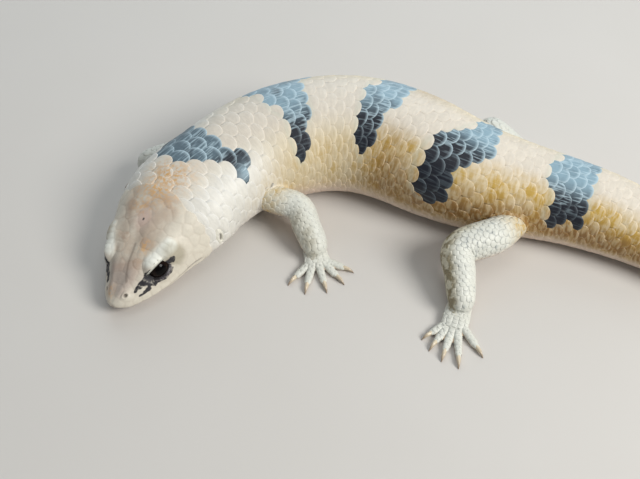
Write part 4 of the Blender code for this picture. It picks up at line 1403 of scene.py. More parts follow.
def head_marks(local, angle, from_nostril, mouth):
    """The tints of the head: tan crown, white brows brightened by a painted highlight, dark smudges at the
    eyes and the lips, warm nape, and painted shade in the snout's fold, behind the eye, in the mouth and
    nostrils.
    """
    s = local[..., 0]
    side = folded(angle)
    crown = ease(side, *CROWN_SIDES) * ease(s, *CROWN_FRONT) * ease(s, *CROWN_REAR)
    brow = near_line(s, side, *BROW_LINE)
    smudge = sum(
        strength * near_line(s, side, first, last, reach) for first, last, reach, strength in DARK_MARKS
    )
    fold_shadows = [near_line(s, angle, first, last, FOLD_SHADOW_REACH) for first, last in zip(SNOUT_FOLD_SHADOW, SNOUT_FOLD_SHADOW[1:])]
    return {
        "crown": crown * (1 - brow),
        # A painted shadow line along a shield's edge, on the left of the snout only
        "fold": np.max(fold_shadows, axis=0),
        # Pale brows, partly their own colour and partly a painted highlight on the ridge over each eye
        "brow": brow,
        "smudge": np.clip(smudge + spot(s, side, *EYELET), 0, 1),
        "shadow": near_line(s, side, *SHADE_LINE) ** 2,
        "mauve": ease(s, *MAUVE_REAR) * ease(side, *MAUVE_SIDES) * ease(s, *MAUVE_FRONT),
        "blush": spot(s, side, *EYELET_BLUSH),
        "warm": np.clip(sum(strength * spot(s, angle, *place) for strength, place in WARM_SPOTS), 0, 1),
        "belly": ease(side, *THROAT_FROM),
        # The mouth's slit and the nostrils' bores are painted dark as shade
        "mouth": np.exp(-((mouth / MOUTH_TINT_WIDTH) ** 2)) * ease(s, MOUTH_CORNER[1], MOUTH_CORNER[0]),
        "pit": ease(from_nostril, NOSTRIL_RADIUS, NOSTRIL_RADIUS * 0.5),
    }


# Lid: rows across it from the margin out, as shift past the opening in mm and height over the eyeball in mm,
# and its beads: how many, how high and how deep between them in mm, and how round the opening's ends are
LID_ROWS = (
    (0.10, -0.15), (-0.02, 0.06), (-0.02, 0.22), (0.08, 0.42), (0.26, 0.6), (0.52, 0.76), (0.85, 0.84),
    (1.2, 0.8), (1.5, 0.66), (1.2, 0.3), (0.6, -0.1),
)
LID_STEPS = 132
LID_BEADS = 30
LID_BEAD, LID_GROOVE = 0.05, 0.09
LID_ROUND = 1.25


def make_lids():
    """The lids of both eyes: a soft rim round each opening, beaded with small scales."""
    along, up, out = eye_frame()
    turn = np.linspace(0, 2 * math.pi, LID_STEPS, endpoint=False)
    cos, sin = np.cos(turn), np.sin(turn)
    open_along = EYE_LONG * cos
    open_up = EYE_HIGH * np.sign(sin) * np.abs(sin) ** LID_ROUND
    polar, way = np.hypot(open_along, open_up), np.arctan2(open_up, open_along)
    bead = 0.5 - 0.5 * np.cos(turn * LID_BEADS)
    rings, rims, edges = [], [], []
    for shift, rise in LID_ROWS:
        distance = EYE_RADIUS + rise
        outer = ease(shift, 0.1, 0.5) * (rise > 0.4)
        reach = distance - LID_GROOVE * outer * (1 - bead) + LID_BEAD * outer * bead
        tilt = polar + shift / distance
        direction = (np.sin(tilt) * np.cos(way))[:, None] * along + (np.sin(tilt) * np.sin(way))[:, None] * up
        direction = direction + np.cos(tilt)[:, None] * out
        rings.append(np.array(EYE_AT) + direction * np.asarray(reach)[:, None])
        rims.append(np.full(LID_STEPS, ease(shift, 0.75, 0.15)))
        edges.append((1 - bead) * outer)
    left = np.array(rings)
    right = left * np.array([1, -1, 1])
    rows, columns = left.shape[:2]
    faces = grid_faces(rows + 1, columns, True) % (rows * columns)
    faces = np.concatenate([faces[:, ::-1], faces + rows * columns])
    places = beside_spine(np.concatenate([left.reshape(-1, 3), right.reshape(-1, 3)]))
    piece = new_piece("lids", places, faces.ravel(), np.full(len(faces), 4))
    lower = np.tile(ease(sin, 0.3, -0.1), rows)
    margin = np.array(rims) * np.maximum(ease(sin, 0.35, 0.0), ease(-cos, 0.5, 0.9))[None, :]
    inner = np.repeat([[ease(shift, 0.16, 0.05)] for shift, _ in LID_ROWS], LID_STEPS, axis=1)
    margin = np.maximum(margin, inner)
    add_values(
        piece,
        margin=np.tile(margin.ravel(), 2),
        seam=np.tile(np.array(edges).ravel(), 2),
        lower=np.tile(lower, 2),
        front=np.tile(np.tile(ease(np.abs(cos), 0.55, 0.85), rows), 2),
    )
    return piece


# Ear, from under the scales over the rim to the floor of the cup: reach from its middle, and height over the
# skin in mm. Then its beads, how high they are and how far in they reach, and how white the rim is
EAR_ROWS = (
    (0.3, -1.1), (1.0, -1.0), (1.9, -0.6), (2.4, -0.05), (2.1, 0.2), (1.8, 0.36), (1.55, 0.46), (1.3, 0.5),
    (1.12, 0.44), (0.97, 0.28), (0.86, 0.04), (0.72, -0.3), (0.5, -0.55), (0.15, -0.62),
)
EAR_STEPS = 60
EAR_BEADS = 11
EAR_BEAD_HEIGHT = 0.06
EAR_LOBE_REACH = 0.2
EAR_WHITE = 0.45


def make_ears():
    """The openings of both ears: a soft rim with small lobes in front, round a cup painted dark as shade."""
    turn = np.linspace(0, 2 * math.pi, EAR_STEPS, endpoint=False)
    cos, sin = np.cos(turn), np.sin(turn)
    bead = 0.5 + 0.5 * np.cos(turn * EAR_BEADS)
    rings, pits = [], []
    for reach, height in EAR_ROWS:
        inner = ease(reach, 0.6, 0.9) * ease(reach, 1.5, 1.1) * ease(-cos, -0.2, 0.5)
        wide = reach * (1 - EAR_LOBE_REACH * inner * bead)
        raised = height + EAR_BEAD_HEIGHT * bead * (height > 0.3)
        along, angle = EAR_AT[0] + EAR_HALF[0] * wide * cos, EAR_AT[1] + EAR_HALF[1] * wide * sin
        on_neck = np.array([body_shape([s], [a], COAT)[0, 0] for s, a in zip(along, angle)])
        way = np.column_stack([0 * angle, np.cos(np.radians(angle)), np.sin(np.radians(angle))])
        rings.append(on_neck + way * raised[:, None])
        # The floor of the cup is painted dark as shade
        pits.append(np.full(EAR_STEPS, ease(reach, 1.0, 0.75) * (height > -0.8)))
    left = np.array(rings)
    piece = loft("ears", beside_spine(left), beside_spine(left * np.array([1, -1, 1])))
    pits = np.tile(np.concatenate(pits), 2)
    add_values(piece, pit=pits, brow=np.full(len(pits), EAR_WHITE))
    return piece


# Eyeball: how far its clear front swells and from where, and the gap to the lids in mm
EYE_SWELL, EYE_SWELL_FROM = 0.022, (0.55, 0.95)
EYE_GAP = 0.03


def make_eye(name, side):
    """A smooth eyeball with a slight swell of the clear front."""
    along, up, out = eye_frame()
    maker = bmesh.new()
    bmesh.ops.create_uvsphere(maker, u_segments=64, v_segments=48, radius=1)
    local = np.array([vert.co[:] for vert in maker.verts])
    swell = 1 + EYE_SWELL * ease(local[:, 2], *EYE_SWELL_FROM)
    local = local * (EYE_RADIUS - EYE_GAP) * swell[:, None]
    places = np.array(EYE_AT) + local[:, :1] * along + local[:, 1:2] * up + local[:, 2:] * out
    places = beside_spine(places * np.array([1, side, 1]))
    for vert, place in zip(maker.verts, places):
        vert.co = Vector(place) * MM
    bmesh.ops.recalc_face_normals(maker, faces=maker.faces)
    mesh = bpy.data.meshes.new(name)
    maker.to_mesh(mesh)
    maker.free()
    mesh.shade_smooth()
    piece = link_thing(name, mesh)
    add_values(piece, facing=local[:, 2] / EYE_RADIUS)
    return piece


# Points of a tube's ring to one of a claw's
CLAW_STRIDE = 20


def make_claws(name, claws):
    """The claws of one foot: curved, tapered horn, thicker above than below."""
    tubes = [tube_sheet(rounded_end(rows), 0.0)["points"][:, :-1:CLAW_STRIDE] for rows in claws]
    piece = loft(name, *tubes)
    values = [np.repeat(np.linspace(0, 1, rings.shape[0]), rings.shape[1]) for rings in tubes]
    add_values(piece, towards_tip=np.concatenate(values))
    return piece


# Materials

def feed(tree, socket, value):
    """Gives a socket a value, or links another node's output to it."""
    if isinstance(value, bpy.types.NodeSocket):
        tree.links.new(value, socket)
    else:
        socket.default_value = value


def put(tree, kind, links=None, **settings):
    """A node with settings, whose inputs take values or other nodes' outputs."""
    node = tree.nodes.new(kind)
    for key, value in settings.items():
        setattr(node, key, value)
    for key, value in (links or {}).items():
        feed(tree, node.inputs[key], value)
    return node


def blend_colour(tree, share, first, second, how="MIX"):
    """A mix of two colours."""
    links = {0: share, 6: first, 7: second}
    return put(tree, "ShaderNodeMix", links, data_type="RGBA", blend_type=how).outputs[2]


def reckon(tree, how, first, second=0.0, third=0.0):
    """One sum on values."""
    return put(tree, "ShaderNodeMath", {0: first, 1: second, 2: third}, operation=how).outputs[0]


def times(tree, first, *others):
    """The product of values."""
    for other in others:
        first = reckon(tree, "MULTIPLY", first, other)
    return first


def scaled(tree, value, by, plus):
    """The value times one number, plus another."""
    return reckon(tree, "MULTIPLY_ADD", value, by, plus)


def tinted(tree, colour, tint, *shares):
    """The colour taken towards a tint, as far as the product of the shares."""
    return blend_colour(tree, times(tree, *shares), colour, tint)


def shaded(tree, colour, light):
    """The colour times a grey."""
    grey = put(tree, "ShaderNodeCombineXYZ", {0: light, 1: light, 2: light}).outputs[0]
    return blend_colour(tree, 1.0, colour, grey, "MULTIPLY")


def value_of(tree, name):
    """The value stored on the piece under this name."""
    return put(tree, "ShaderNodeAttribute", attribute_name=name).outputs["Fac"]


def spread(tree, value, low, high):
    """The value brought from low and high to 0 and 1, smoothly."""
    links = {0: value, 1: low, 2: high}
    return put(tree, "ShaderNodeMapRange", links, interpolation_type="SMOOTHSTEP").outputs[0]


def speckle(tree, place, scale, detail=3.0, roughness=0.55):
    """Noise at a scale."""
    links = {"Vector": place, "Scale": scale, "Detail": detail, "Roughness": roughness}
    return put(tree, "ShaderNodeTexNoise", links).outputs["Fac"]


def new_effect(name, inputs, outputs):
    """A node group with named inputs and their values, and named outputs: the group, its ways in and out."""
    group = bpy.data.node_groups.new(name, "ShaderNodeTree")
    kinds = {"value": "NodeSocketFloat", "colour": "NodeSocketColor", "place": "NodeSocketVector"}
    for key, value in inputs.items():
        kind = "place" if value is None else "colour" if isinstance(value, tuple) else "value"
        socket = group.interface.new_socket(name=key, in_out="INPUT", socket_type=kinds[kind])
        if value is not None:
            socket.default_value = value
    for key, kind in outputs.items():
        group.interface.new_socket(name=key, in_out="OUTPUT", socket_type=kinds[kind])
    ways_in = put(group, "NodeGroupInput").outputs
    way_out = put(group, "NodeGroupOutput")
    return group, ways_in, way_out


def place_effect(tree, group, links):
    """The outputs of an effect placed in a material."""
    return put(tree, "ShaderNodeGroup", links, node_tree=group).outputs


# Colours of the body
CREAM = (0.72, 0.63, 0.46, 1)
BACK_CREAM = (0.70, 0.635, 0.54, 1)
NECK_WHITE = (0.74, 0.72, 0.66, 1)
NET_PALE = (0.80, 0.80, 0.78, 1)
BELLY_PINK = (0.72, 0.58, 0.48, 1)
OCHRE = (0.54, 0.35, 0.075, 1)
# Brown of the low flanks, partly their own colour and partly painted shade
BROWN_AND_SHADE = (0.27, 0.135, 0.035, 1)
WARM_TAN = (0.66, 0.37, 0.13, 1)
UNDER_SCALES = (0.42, 0.30, 0.24, 1)

# Colours of the bands
SLATE = (0.008, 0.010, 0.018, 1)
# Blue grey of the bands' tops: partly their own slate, partly a painted sky reflection
SLATE_BACK_AND_SKY_SHEEN = (0.25, 0.375, 0.45, 1)
RIM_PALE = (0.48, 0.62, 0.69, 1)
HALO_PALE = (0.56, 0.59, 0.49, 1)

# Colours of the head
HEAD_CREAM = (0.68, 0.63, 0.53, 1)
CROWN_TAN = (0.46, 0.335, 0.245, 1)
SNOUT_MAUVE = (0.34, 0.265, 0.24, 1)
CROWN_PINK = (0.72, 0.56, 0.50, 1)
# Pale brows, brightened by a painted highlight on their ridges
BROW_WHITE_AND_HIGHLIGHT = (0.90, 0.91, 0.83, 1)
GROOVE_TAN = (0.36, 0.27, 0.20, 1)
# Painted olive shadow behind the eye's rear corner
EYE_CORNER_SHADOW = (0.20, 0.17, 0.09, 1)
SMUDGE = (0.030, 0.028, 0.032, 1)
# Painted shadow along the fold on the left of the snout
FOLD_SHADOW_BROWN = (0.14, 0.10, 0.08, 1)
# Painted shade in the mouth's slit, the nostrils and the ears' cups
HOLLOW_SHADE_BROWN = (0.05, 0.035, 0.03, 1)

# Colours of the lids and the eyes
LID_PALE = (0.64, 0.64, 0.56, 1)
LID_GREY = (0.20, 0.165, 0.19, 1)
LID_SEAM = (0.03, 0.03, 0.03, 1)
LID_MARGIN = (0.012, 0.010, 0.010, 1)
EYE_BLACK = (0.002, 0.0015, 0.0015, 1)
EYE_RING = (0.018, 0.009, 0.006, 1)

# Colours of the limbs and the claws
LIMB_WHITE = (0.68, 0.685, 0.62, 1)
LIMB_GREY = (0.20, 0.235, 0.25, 1)
# Olive and yellow of a leg's side to the head: partly its own colour, partly painted shade
LIMB_OLIVE_SHADE = (0.20, 0.155, 0.07, 1)
LIMB_YELLOW_SHADE = (0.58, 0.50, 0.30, 1)
HORN_PALE = (0.70, 0.60, 0.44, 1)
HORN_TIP = (0.22, 0.15, 0.10, 1)

# How much the lines and the ripples of a scale are drawn out, and how far its tone shifts them
LINE_DRAWN_OUT = 0.16
RIPPLE_DRAWN_OUT = (0.42, 1.25)
LINE_SEED = 37.0
RIPPLE_SEED = 11.0

# Noise on the body and the head: coarse clouds, and the fine mottle in them, as scale and detail
BODY_CLOUD = (160.0, 4.0)
BODY_MOTTLE = (900.0, 3.0)
HEAD_CLOUD = (210.0, 4.0, 0.6)
HEAD_MOTTLE = (1100.0, 3.0)
SMUDGE_BREAKS = (900.0, 4.0, 0.65)
LIMB_TICKS = (760.0, 2.0, 0.5)
LIMB_BLOTCHES = (430.0, 2.0, 0.5)

# Finish of scales and shields: roughness, clear coat and its roughness, and gloss
SCALE_FINISH = (0.5, 0.08, 0.3)
SCALE_GLOSS = 0.4

# Fine relief, as strength and depth in metres
SCALE_RELIEF = (0.26, 0.00014)
SKIN_RELIEF = (0.3, 0.00015)
SHIELD_RELIEF = (0.2, 0.00018)
LID_RELIEF = (0.25, 0.0001)
CLAW_RELIEF = (0.2, 0.0001)

# Markings that the skin carries, and those that the scales carry
SKIN_MARKS = ("back", "top", "belly", "ochre", "brown", "band", "halo", "neck")
SCALE_MARKS = (*SKIN_MARKS, "streaky", "warm", "tone", "rim")
HEAD_MARKS = (
    "belly", "crown", "tone", "mauve", "blush", "brow", "warm", "groove", "shadow", "smudge", "fold",
    "mouth", "pit",
)


def drawn_out(tree, across, along, seed):
    """Noise drawn out along or across a scale, and different on each."""
    place = put(tree, "ShaderNodeCombineXYZ", {0: across, 1: along, 2: seed}).outputs[0]
    return speckle(tree, place, 1.0, 2.0, 0.5)


def lay_of_scales():
    """An effect: fine lines along each scale, as a height and as pale streaks, and ripples across it."""
    group, given, out = new_effect(
        "lines_along_a_scale",
        {"Across": 0.0, "Along": 0.0, "Tone": 0.0, "Fineness": 2.6},
        {"Height": "value", "Streak": "value", "Ripple": "value"},
    )
    across, along = given["Across"], given["Along"]
    seed = times(group, given["Tone"], LINE_SEED)
    lines = drawn_out(
        group, times(group, across, given["Fineness"]), times(group, along, LINE_DRAWN_OUT), seed,
    )
    wide, long = RIPPLE_DRAWN_OUT
    other_seed = reckon(group, "ADD", seed, RIPPLE_SEED)
    ripples = drawn_out(group, times(group, across, wide), times(group, along, long), other_seed)
    group.links.new(lines, out.inputs["Height"])
    group.links.new(spread(group, lines, 0.5, 0.64), out.inputs["Streak"])
    group.links.new(spread(group, ripples, 0.36, 0.64), out.inputs["Ripple"])
    return group


def skink_tints():
    """An effect: the colour of the body from the markings that each point carries."""
    masks = [name.capitalize() for name in (*SCALE_MARKS, "streak", "ripple")]
    group, given, out = new_effect(
        "skink_tints",
        {**dict.fromkeys(masks, 0.0), "Place": None, "Ground": CREAM, "Ground Back": BACK_CREAM},
        {"Colour": "colour", "Mottle": "value"},
    )
    back, neck, rim, streak, ripple = (given[key] for key in ("Back", "Neck", "Rim", "Streak", "Ripple"))
    coarse = speckle(group, given["Place"], *BODY_CLOUD)
    fine = speckle(group, given["Place"], *BODY_MOTTLE)

    # Cream, whiter on the neck and on the scales' rims, and pink below
    pale = blend_colour(group, back, given["Ground"], given["Ground Back"])
    pale = tinted(group, pale, NECK_WHITE, neck)
    pale = tinted(group, pale, NET_PALE, rim, scaled(group, neck, 0.3, 0.1))
    pale = tinted(group, pale, BELLY_PINK, given["Belly"], scaled(group, neck, -0.7, 0.9))

    # Ochre and brown in clouds and ripples, weaker on rims and streaks. The brown low on the flanks is partly
    # their own colour and partly painted shade and warm light bounced from below
    cloud = scaled(group, spread(group, coarse, 0.25, 0.8), 0.6, 0.56)
    waves = scaled(group, ripple, 0.66, 0.72)
    worn = reckon(group, "ADD", times(group, rim, 0.35), times(group, streak, 0.22))
    pale = tinted(group, pale, OCHRE, given["Ochre"], cloud, waves, scaled(group, worn, -1.0, 1.0))
    pale = tinted(group, pale, BROWN_AND_SHADE, given["Brown"], scaled(group, ripple, 0.5, 0.45))
    pale = tinted(group, pale, HALO_PALE, given["Halo"], 0.32)
    pale = tinted(group, pale, WARM_TAN, given["Warm"], spread(group, fine, 0.38, 0.62))
    light = times(
        group, scaled(group, given["Tone"], 0.03, 1.0), scaled(group, fine, 0.16, 0.9),
        scaled(group, ripple, -0.06, 1.03),
    )
    pale = shaded(group, pale, light)

    # Bands: near black on the flanks, blue grey on the back, partly their own slate and partly a painted sky
    # reflection, with pale streaks and rims
    blue = times(group, given["Top"], spread(group, coarse, 0.1, 0.55))
    dark = blend_colour(group, blue, SLATE, SLATE_BACK_AND_SKY_SHEEN)
    dark = tinted(group, dark, RIM_PALE, streak, given["Streaky"])
    dark = tinted(group, dark, RIM_PALE, rim, scaled(group, back, 0.6, 0.08))
    group.links.new(blend_colour(group, given["Band"], pale, dark), out.inputs["Colour"])
    group.links.new(fine, out.inputs["Mottle"])
    return group


def new_material(name, rough, coat, coat_rough=0.2):
    """A material with the finish that all share, and its tree, its shader and each point's place."""
    material = bpy.data.materials.new(name)
    material.use_nodes = True
    tree = material.node_tree
    shader = tree.nodes["Principled BSDF"]
    shader.inputs["Roughness"].default_value = rough
    shader.inputs["Coat Weight"].default_value = coat
    shader.inputs["Coat Roughness"].default_value = coat_rough
    return material, tree, shader, put(tree, "ShaderNodeTexCoord").outputs["Object"]


def add_relief(tree, shader, height, relief):
    """Fine relief on the shader, from a height and a strength and depth."""
    strength, depth = relief
    bump = put(tree, "ShaderNodeBump", {"Height": height, "Strength": strength, "Distance": depth})
    tree.links.new(bump.outputs[0], shader.inputs["Normal"])


def markings_of(tree, names):
    """The markings stored on the piece, by the names of the effect's inputs."""
    return {name.capitalize(): value_of(tree, name) for name in names}


def limb_marks(tree, colour, place):
    """The colour of a limb's scales with small grey ticks, and olive blotches on yellow on one side, partly
    painted shade.
    """
    olive = value_of(tree, "olive")
    ticks = spread(tree, speckle(tree, place, *LIMB_TICKS), 0.54, 0.68)
    rims = scaled(tree, value_of(tree, "rim"), 0.5, 0.2)
    colour = tinted(tree, colour, LIMB_GREY, ticks, rims, value_of(tree, "ticks"))
    # Yellow and olive on the side to the head, partly painted shade
    colour = tinted(tree, colour, LIMB_YELLOW_SHADE, olive, 0.6)
    blotches = spread(tree, speckle(tree, place, *LIMB_BLOTCHES), 0.46, 0.6)
    return tinted(tree, colour, LIMB_OLIVE_SHADE, blotches, olive)


def scale_material(name, tints, lines, ground, ground_back, fineness, limb=False):
    """Smooth, satin scale with fine lines along it, coloured by its own markings."""
    material, tree, shader, place = new_material(name, *SCALE_FINISH)
    shader.inputs["Specular IOR Level"].default_value = SCALE_GLOSS
    lay = place_effect(tree, lines, {
        "Across": value_of(tree, "lay_across"), "Along": value_of(tree, "lay_along"),
        "Tone": value_of(tree, "tone"),
        "Fineness": fineness,
    })
    look = place_effect(tree, tints, {
        **markings_of(tree, SCALE_MARKS), "Streak": lay["Streak"], "Ripple": lay["Ripple"], "Place": place,
        "Ground": ground, "Ground Back": ground_back,
    })
    colour = limb_marks(tree, look["Colour"], place) if limb else look["Colour"]
    tree.links.new(colour, shader.inputs["Base Color"])
    tree.links.new(scaled(tree, look["Mottle"], 0.22, 0.38), shader.inputs["Roughness"])
    height = reckon(tree, "ADD", lay["Height"], times(tree, look["Mottle"], 0.4))
    add_relief(tree, shader, reckon(tree, "ADD", height, times(tree, lay["Ripple"], 0.7)), SCALE_RELIEF)
    return material


def skin_material(tints):
    """The skin between and under the scales, a little duller and pinker than they are."""
    material, tree, shader, place = new_material("skin_between_scales", 0.55, 0.1)
    look = place_effect(tree, tints, {**markings_of(tree, SKIN_MARKS), "Place": place})
    colour = blend_colour(tree, 0.35, look["Colour"], UNDER_SCALES, "MULTIPLY")
    tree.links.new(colour, shader.inputs["Base Color"])
    tree.links.new(scaled(tree, look["Mottle"], 0.3, 0.4), shader.inputs["Roughness"])
    add_relief(tree, shader, speckle(tree, place, 2400.0, 2.0), SKIN_RELIEF)
    return material


def shield_material():
    """The head's shields: satin, cream and tan, with white brows brightened by a painted highlight, dark
    smudges, a warm nape, and painted shade in the snout's fold, behind the eye and in the mouth, nostrils and
    ears.
    """
    material, tree, shader, place = new_material("head_shields", *SCALE_FINISH)
    shader.inputs["Specular IOR Level"].default_value = SCALE_GLOSS
    mark = {name: value_of(tree, name) for name in HEAD_MARKS}
    coarse = speckle(tree, place, *HEAD_CLOUD)
    fine = speckle(tree, place, *HEAD_MOTTLE)
    cloud = spread(tree, coarse, 0.25, 0.62)
    colour = blend_colour(tree, mark["belly"], HEAD_CREAM, BELLY_PINK)
    colour = tinted(tree, colour, CROWN_TAN, mark["crown"], cloud, scaled(tree, mark["tone"], 0.25, 0.72))
    colour = tinted(tree, colour, SNOUT_MAUVE, mark["mauve"], 0.6)
    colour = tinted(tree, colour, CROWN_PINK, mark["blush"], 0.7)
    # Pale brows, brightened by a painted highlight
    colour = tinted(tree, colour, BROW_WHITE_AND_HIGHLIGHT, mark["brow"], 0.85)
    colour = tinted(tree, colour, WARM_TAN, mark["warm"], spread(tree, fine, 0.38, 0.62))
    light = times(tree, scaled(tree, fine, 0.2, 0.9), scaled(tree, mark["tone"], 0.03, 1.0))
    colour = shaded(tree, colour, light)
    colour = tinted(tree, colour, GROOVE_TAN, mark["groove"], 0.11)
    # Painted olive shadow behind the eye
    colour = tinted(tree, colour, EYE_CORNER_SHADOW, mark["shadow"], 0.5)
    broken = scaled(tree, speckle(tree, place, *SMUDGE_BREAKS), 2.4, -0.3)
    colour = tinted(tree, colour, SMUDGE, spread(tree, times(tree, mark["smudge"], broken), 0.2, 0.85))
    # Painted shadow along the fold on the left of the snout
    colour = tinted(tree, colour, FOLD_SHADOW_BROWN, mark["fold"], 0.4)
    # Painted shade in the mouth's slit, the nostrils and the ears' cups
    colour = tinted(tree, colour, HOLLOW_SHADE_BROWN, reckon(tree, "MAXIMUM", mark["mouth"], mark["pit"]), 0.8)
    tree.links.new(colour, shader.inputs["Base Color"])
    tree.links.new(scaled(tree, fine, 0.24, 0.4), shader.inputs["Roughness"])
    add_relief(tree, shader, reckon(tree, "ADD", fine, times(tree, coarse, 0.8)), SHIELD_RELIEF)
    return material


def lid_material():
    """Lids: dark grey at the margin and below the eye, pale above it."""
    material, tree, shader, place = new_material("lids", 0.4, 0.3)
    fine = speckle(tree, place, 1500.0, 3.0)
    colour = blend_colour(tree, value_of(tree, "lower"), LID_PALE, LID_GREY)
    colour = tinted(tree, colour, SMUDGE, value_of(tree, "front"), 0.7)
    colour = tinted(tree, colour, LID_SEAM, value_of(tree, "seam"), 0.35)
    colour = tinted(tree, colour, LID_MARGIN, value_of(tree, "margin"), spread(tree, fine, 0.15, 0.5))
    tree.links.new(colour, shader.inputs["Base Color"])
    add_relief(tree, shader, fine, LID_RELIEF)
    return material


def eye_material():
    """A near-black, wet eye with a dark brown ring that barely shows."""
    material, tree, shader, place = new_material("eye", 0.09, 0.0, 0.05)
    shader.inputs["IOR"].default_value = 1.2
    facing = value_of(tree, "facing")
    ring = times(tree, spread(tree, facing, 0.35, 0.72), spread(tree, facing, 0.93, 0.84))
    ring = times(tree, ring, speckle(tree, place, 900.0, 4.0))
    tree.links.new(blend_colour(tree, ring, EYE_BLACK, EYE_RING), shader.inputs["Base Color"])
    return material


def claw_material():
    """Claws: pale horn that darkens to a grey brown tip."""
    material, tree, shader, place = new_material("claw", 0.3, 0.4)
    fine = speckle(tree, place, 1400.0, 3.0)
    along = reckon(tree, "ADD", value_of(tree, "towards_tip"), times(tree, fine, 0.3))
    colour = blend_colour(tree, spread(tree, along, 0.25, 1.0), HORN_PALE, HORN_TIP)
    tree.links.new(colour, shader.inputs["Base Color"])
    add_relief(tree, shader, fine, CLAW_RELIEF)
    return material


# Stage

CAMERA_TARGET = Vector((-0.0108, -0.0295, 0.0))
CAMERA_HEIGHT_ANGLE = 50.0
CAMERA_DISTANCE = 0.250
CAMERA_LENS = 50.625
CAMERA_SENSOR = 36.0
CAMERA_NEAREST = 0.01

# Lights: place, target, width, power and colour, in metres and watts
LIGHTS = {
    "key from the right": ((0.46, -0.26, 0.44), (0.0, 0.0, 0.01), 0.34, 4.1, (1.0, 0.985, 0.95)),
    "sky from behind": ((-0.02, 0.46, 0.30), (0.02, 0.0, 0.01), 0.62, 1.5, (0.82, 0.93, 1.0)),
    "ceiling": ((0.02, -0.02, 0.75), (0.0, 0.0, 0.0), 0.6, 0.85, (1.0, 0.99, 0.97)),
}
SURROUND_COLOUR = (0.86, 0.91, 0.96, 1)
SURROUND_STRENGTH = 0.24

FLOOR_HALF = 3.0
FLOOR_CLOUD = (14.0, 3.0)
FLOOR_PALE = (0.60, 0.575, 0.54, 1)
FLOOR_PALER = (0.64, 0.615, 0.585, 1)


def aim(thing, target):
    """Turns a camera or light to face a place."""
    thing.rotation_euler = (Vector(target) - thing.location).to_track_quat("-Z", "Y").to_euler()


def set_camera():
    """The camera at the photograph's viewing angle."""
    camera = link_thing("camera", bpy.data.cameras.new("camera"))
    rise = math.radians(CAMERA_HEIGHT_ANGLE)
    camera.location = CAMERA_TARGET + Vector((0, -math.cos(rise), math.sin(rise))) * CAMERA_DISTANCE
    aim(camera, CAMERA_TARGET)
    camera.data.lens = CAMERA_LENS
    camera.data.sensor_width = CAMERA_SENSOR
    camera.data.clip_start = CAMERA_NEAREST
    bpy.context.scene.camera = camera


def set_lights():
    """A key light from the right, a cool sky from behind, a ceiling and a pale surround."""
    for name, (place, target, size, power, colour) in LIGHTS.items():
        light = bpy.data.lights.new(name, "AREA")
        light.shape = "DISK"
        light.size = size
        light.energy = power
        light.color = colour
        lamp = link_thing(name, light)
        lamp.location = place
        aim(lamp, target)
    world = bpy.data.worlds.new("surround")
    world.use_nodes = True
    surround = world.node_tree.nodes["Background"]
    surround.inputs["Color"].default_value = SURROUND_COLOUR
    surround.inputs["Strength"].default_value = SURROUND_STRENGTH
    bpy.context.scene.world = world
    bpy.context.scene.view_settings.view_transform = "Standard"


def floor_material():
    """The plain pale floor."""
    material, tree, shader, place = new_material("floor", 0.9, 0.0)
    colour = blend_colour(tree, speckle(tree, place, *FLOOR_CLOUD), FLOOR_PALE, FLOOR_PALER)
    tree.links.new(colour, shader.inputs["Base Color"])
    return material


def set_floor():
    """A broad plain floor."""
    maker = bmesh.new()
    bmesh.ops.create_grid(maker, x_segments=8, y_segments=8, size=FLOOR_HALF)
    mesh = bpy.data.meshes.new("floor")
    maker.to_mesh(mesh)
    maker.free()
    mesh.materials.append(floor_material())
    floor = link_thing("floor", mesh)


# Making

FLESH = (
    "head", "jaw", "neck", "torso_front", "torso_middle", "torso_rear", "tail_base", "tail_middle",
    "tail_tip",
    *(f"{leg}_{part}" for leg in LEGS for part in ("upper", "lower")),
    *(foot[0] for foot in FEET.values()),
)

# Lengths of the coat on the body: name, first and last tip in mm
COAT_LENGTHS = (
    ("scales_neck", 0, 58),
    ("scales_torso_front", 58, 90),
    ("scales_torso_rear", 90, 124),
    ("scales_tail_base", 124, 166),
    ("scales_tail", 166, 300),
)

# How far from the skin a scale may lie and still be kept, and how far it is drawn on to the skin, in mm
BODY_STRAYS, BODY_DRAWN = 0.95, 1.6
LIMB_STRAYS, LIMB_DRAWN = 0.6, 1.2
LEGS_BEGIN = 33.0

# Fineness of the lines along a scale
BODY_FINENESS = 1.7
LIMB_FINENESS = 4.0


def finish_piece(piece, material):
    """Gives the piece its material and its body."""
    piece.data.materials.append(material)
    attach(piece, "root")


def mark_skin(skin, sheet):
    """Gives each point of the skin the markings of the nearest place on the body."""
    coarse = sheet["points"][::SHEET_STEP, ::SHEET_STRIDE]
    tree = KDTree(coarse.shape[0] * coarse.shape[1])
    for i, place in enumerate(coarse.reshape(-1, 3)):
        tree.insert(place * MM, i)
    tree.balance()
    nearest = np.array([tree.find(place * MM)[1] for place in points_of(skin)])
    along = np.repeat(sheet["at"][::SHEET_STEP], coarse.shape[1])[nearest]
    angle = sheet["angle"][::SHEET_STEP, ::SHEET_STRIDE].ravel()[nearest]
    marks = markings(along, angle)
    add_values(skin, **{name: marks[name] for name in SKIN_MARKS})


def cover_body(sheet, tree, finish):
    """The scales of the neck, the torso and the tail, in five lengths."""
    scales, keep = body_scales(sheet)
    near_legs = scales["tip"] > LEGS_BEGIN
    keep[near_legs] &= on_skin(sheet, chosen(scales, near_legs), tree, BODY_STRAYS)
    settle = settler(tree, BODY_DRAWN)
    for name, first, last in COAT_LENGTHS:
        part = chosen(scales, keep & (scales["tip"] >= first) & (scales["tip"] < last))
        unwrap = (first, min(last, LENGTH), 0, 1)
        piece = make_scales(name, BODY_PLATE, sheet, part, COAT, markings, settle, unwrap, ear_dent)
        finish_piece(piece, finish)


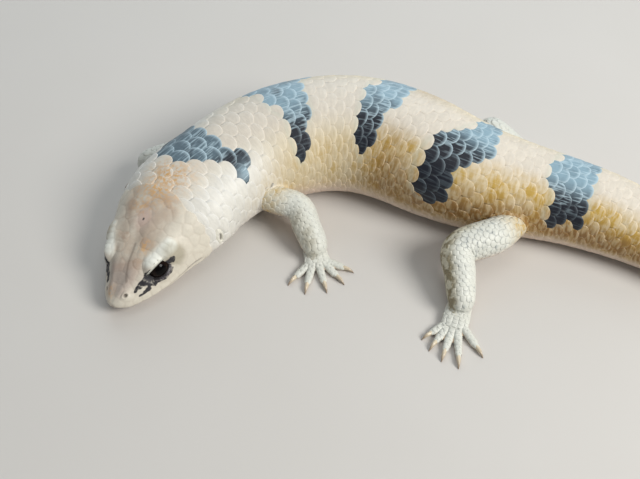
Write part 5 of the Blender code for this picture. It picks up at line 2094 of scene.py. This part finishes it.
def cover_leg(leg, sheets, tree, finish):
    """The scales of a leg, its palm or sole, and its toes, as one piece."""
    settle = settler(tree, LIMB_DRAWN)
    pieces = []
    for number, (key, limb) in enumerate(sheets.items()):
        part = limb_scales(limb, key.split("_")[0])
        part = chosen(part, on_skin(limb, part, tree, LIMB_STRAYS))
        unwrap = (0, limb["at"][-1], number / len(sheets), (number + 1) / len(sheets))
        tint = limb_tint(leg, key != "leg")
        pieces.append(make_scales(f"{leg}_{key}", LIMB_PLATE, limb, part, LIMB_COAT, tint, settle, unwrap))
    finish_piece(join(f"scales_{leg}", pieces), finish)


def join(name, pieces):
    """Several pieces with the same values as one mesh."""
    first = pieces[0]
    with bpy.context.temp_override(active_object=first, object=first, selected_editable_objects=pieces):
        bpy.ops.object.join()
    pieces[0].name = name
    pieces[0].data.name = name
    return pieces[0]


def main():
    """Makes the stage and every piece of the skink."""
    set_camera()
    set_lights()
    set_floor()
    tints, lines = skink_tints(), lay_of_scales()
    body_finish = scale_material("body_scales", tints, lines, CREAM, BACK_CREAM, BODY_FINENESS)
    limb_finish = scale_material(
        "limb_scales", tints, lines, LIMB_WHITE, LIMB_WHITE, LIMB_FINENESS, limb=True
    )
    horn = claw_material()

    sheet = body_sheet()
    limbs, claws = {}, {}
    for leg in LEGS:
        limbs[leg], claws[leg] = limb_sheets(leg)
    skin = make_skin(limbs)
    mark_skin(skin, sheet)
    finish_piece(skin, skin_material(tints))
    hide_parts(*FLESH)

    tree = tree_of(skin)
    cover_body(sheet, tree, body_finish)
    for leg, sheets in limbs.items():
        cover_leg(leg, sheets, tree, limb_finish)
        finish_piece(make_claws(f"claws_{FEET[leg][0]}", claws[leg]), horn)

    shields = shield_material()
    finish_piece(make_head_shields(), shields)
    finish_piece(make_ears(), shields)
    finish_piece(make_lids(), lid_material())
    wet = eye_material()
    for side, node in ((1, "eye_left"), (-1, "eye_right")):
        ball = make_eye(node + "_ball", side)
        finish_piece(ball, wet)
        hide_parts(node)


main()
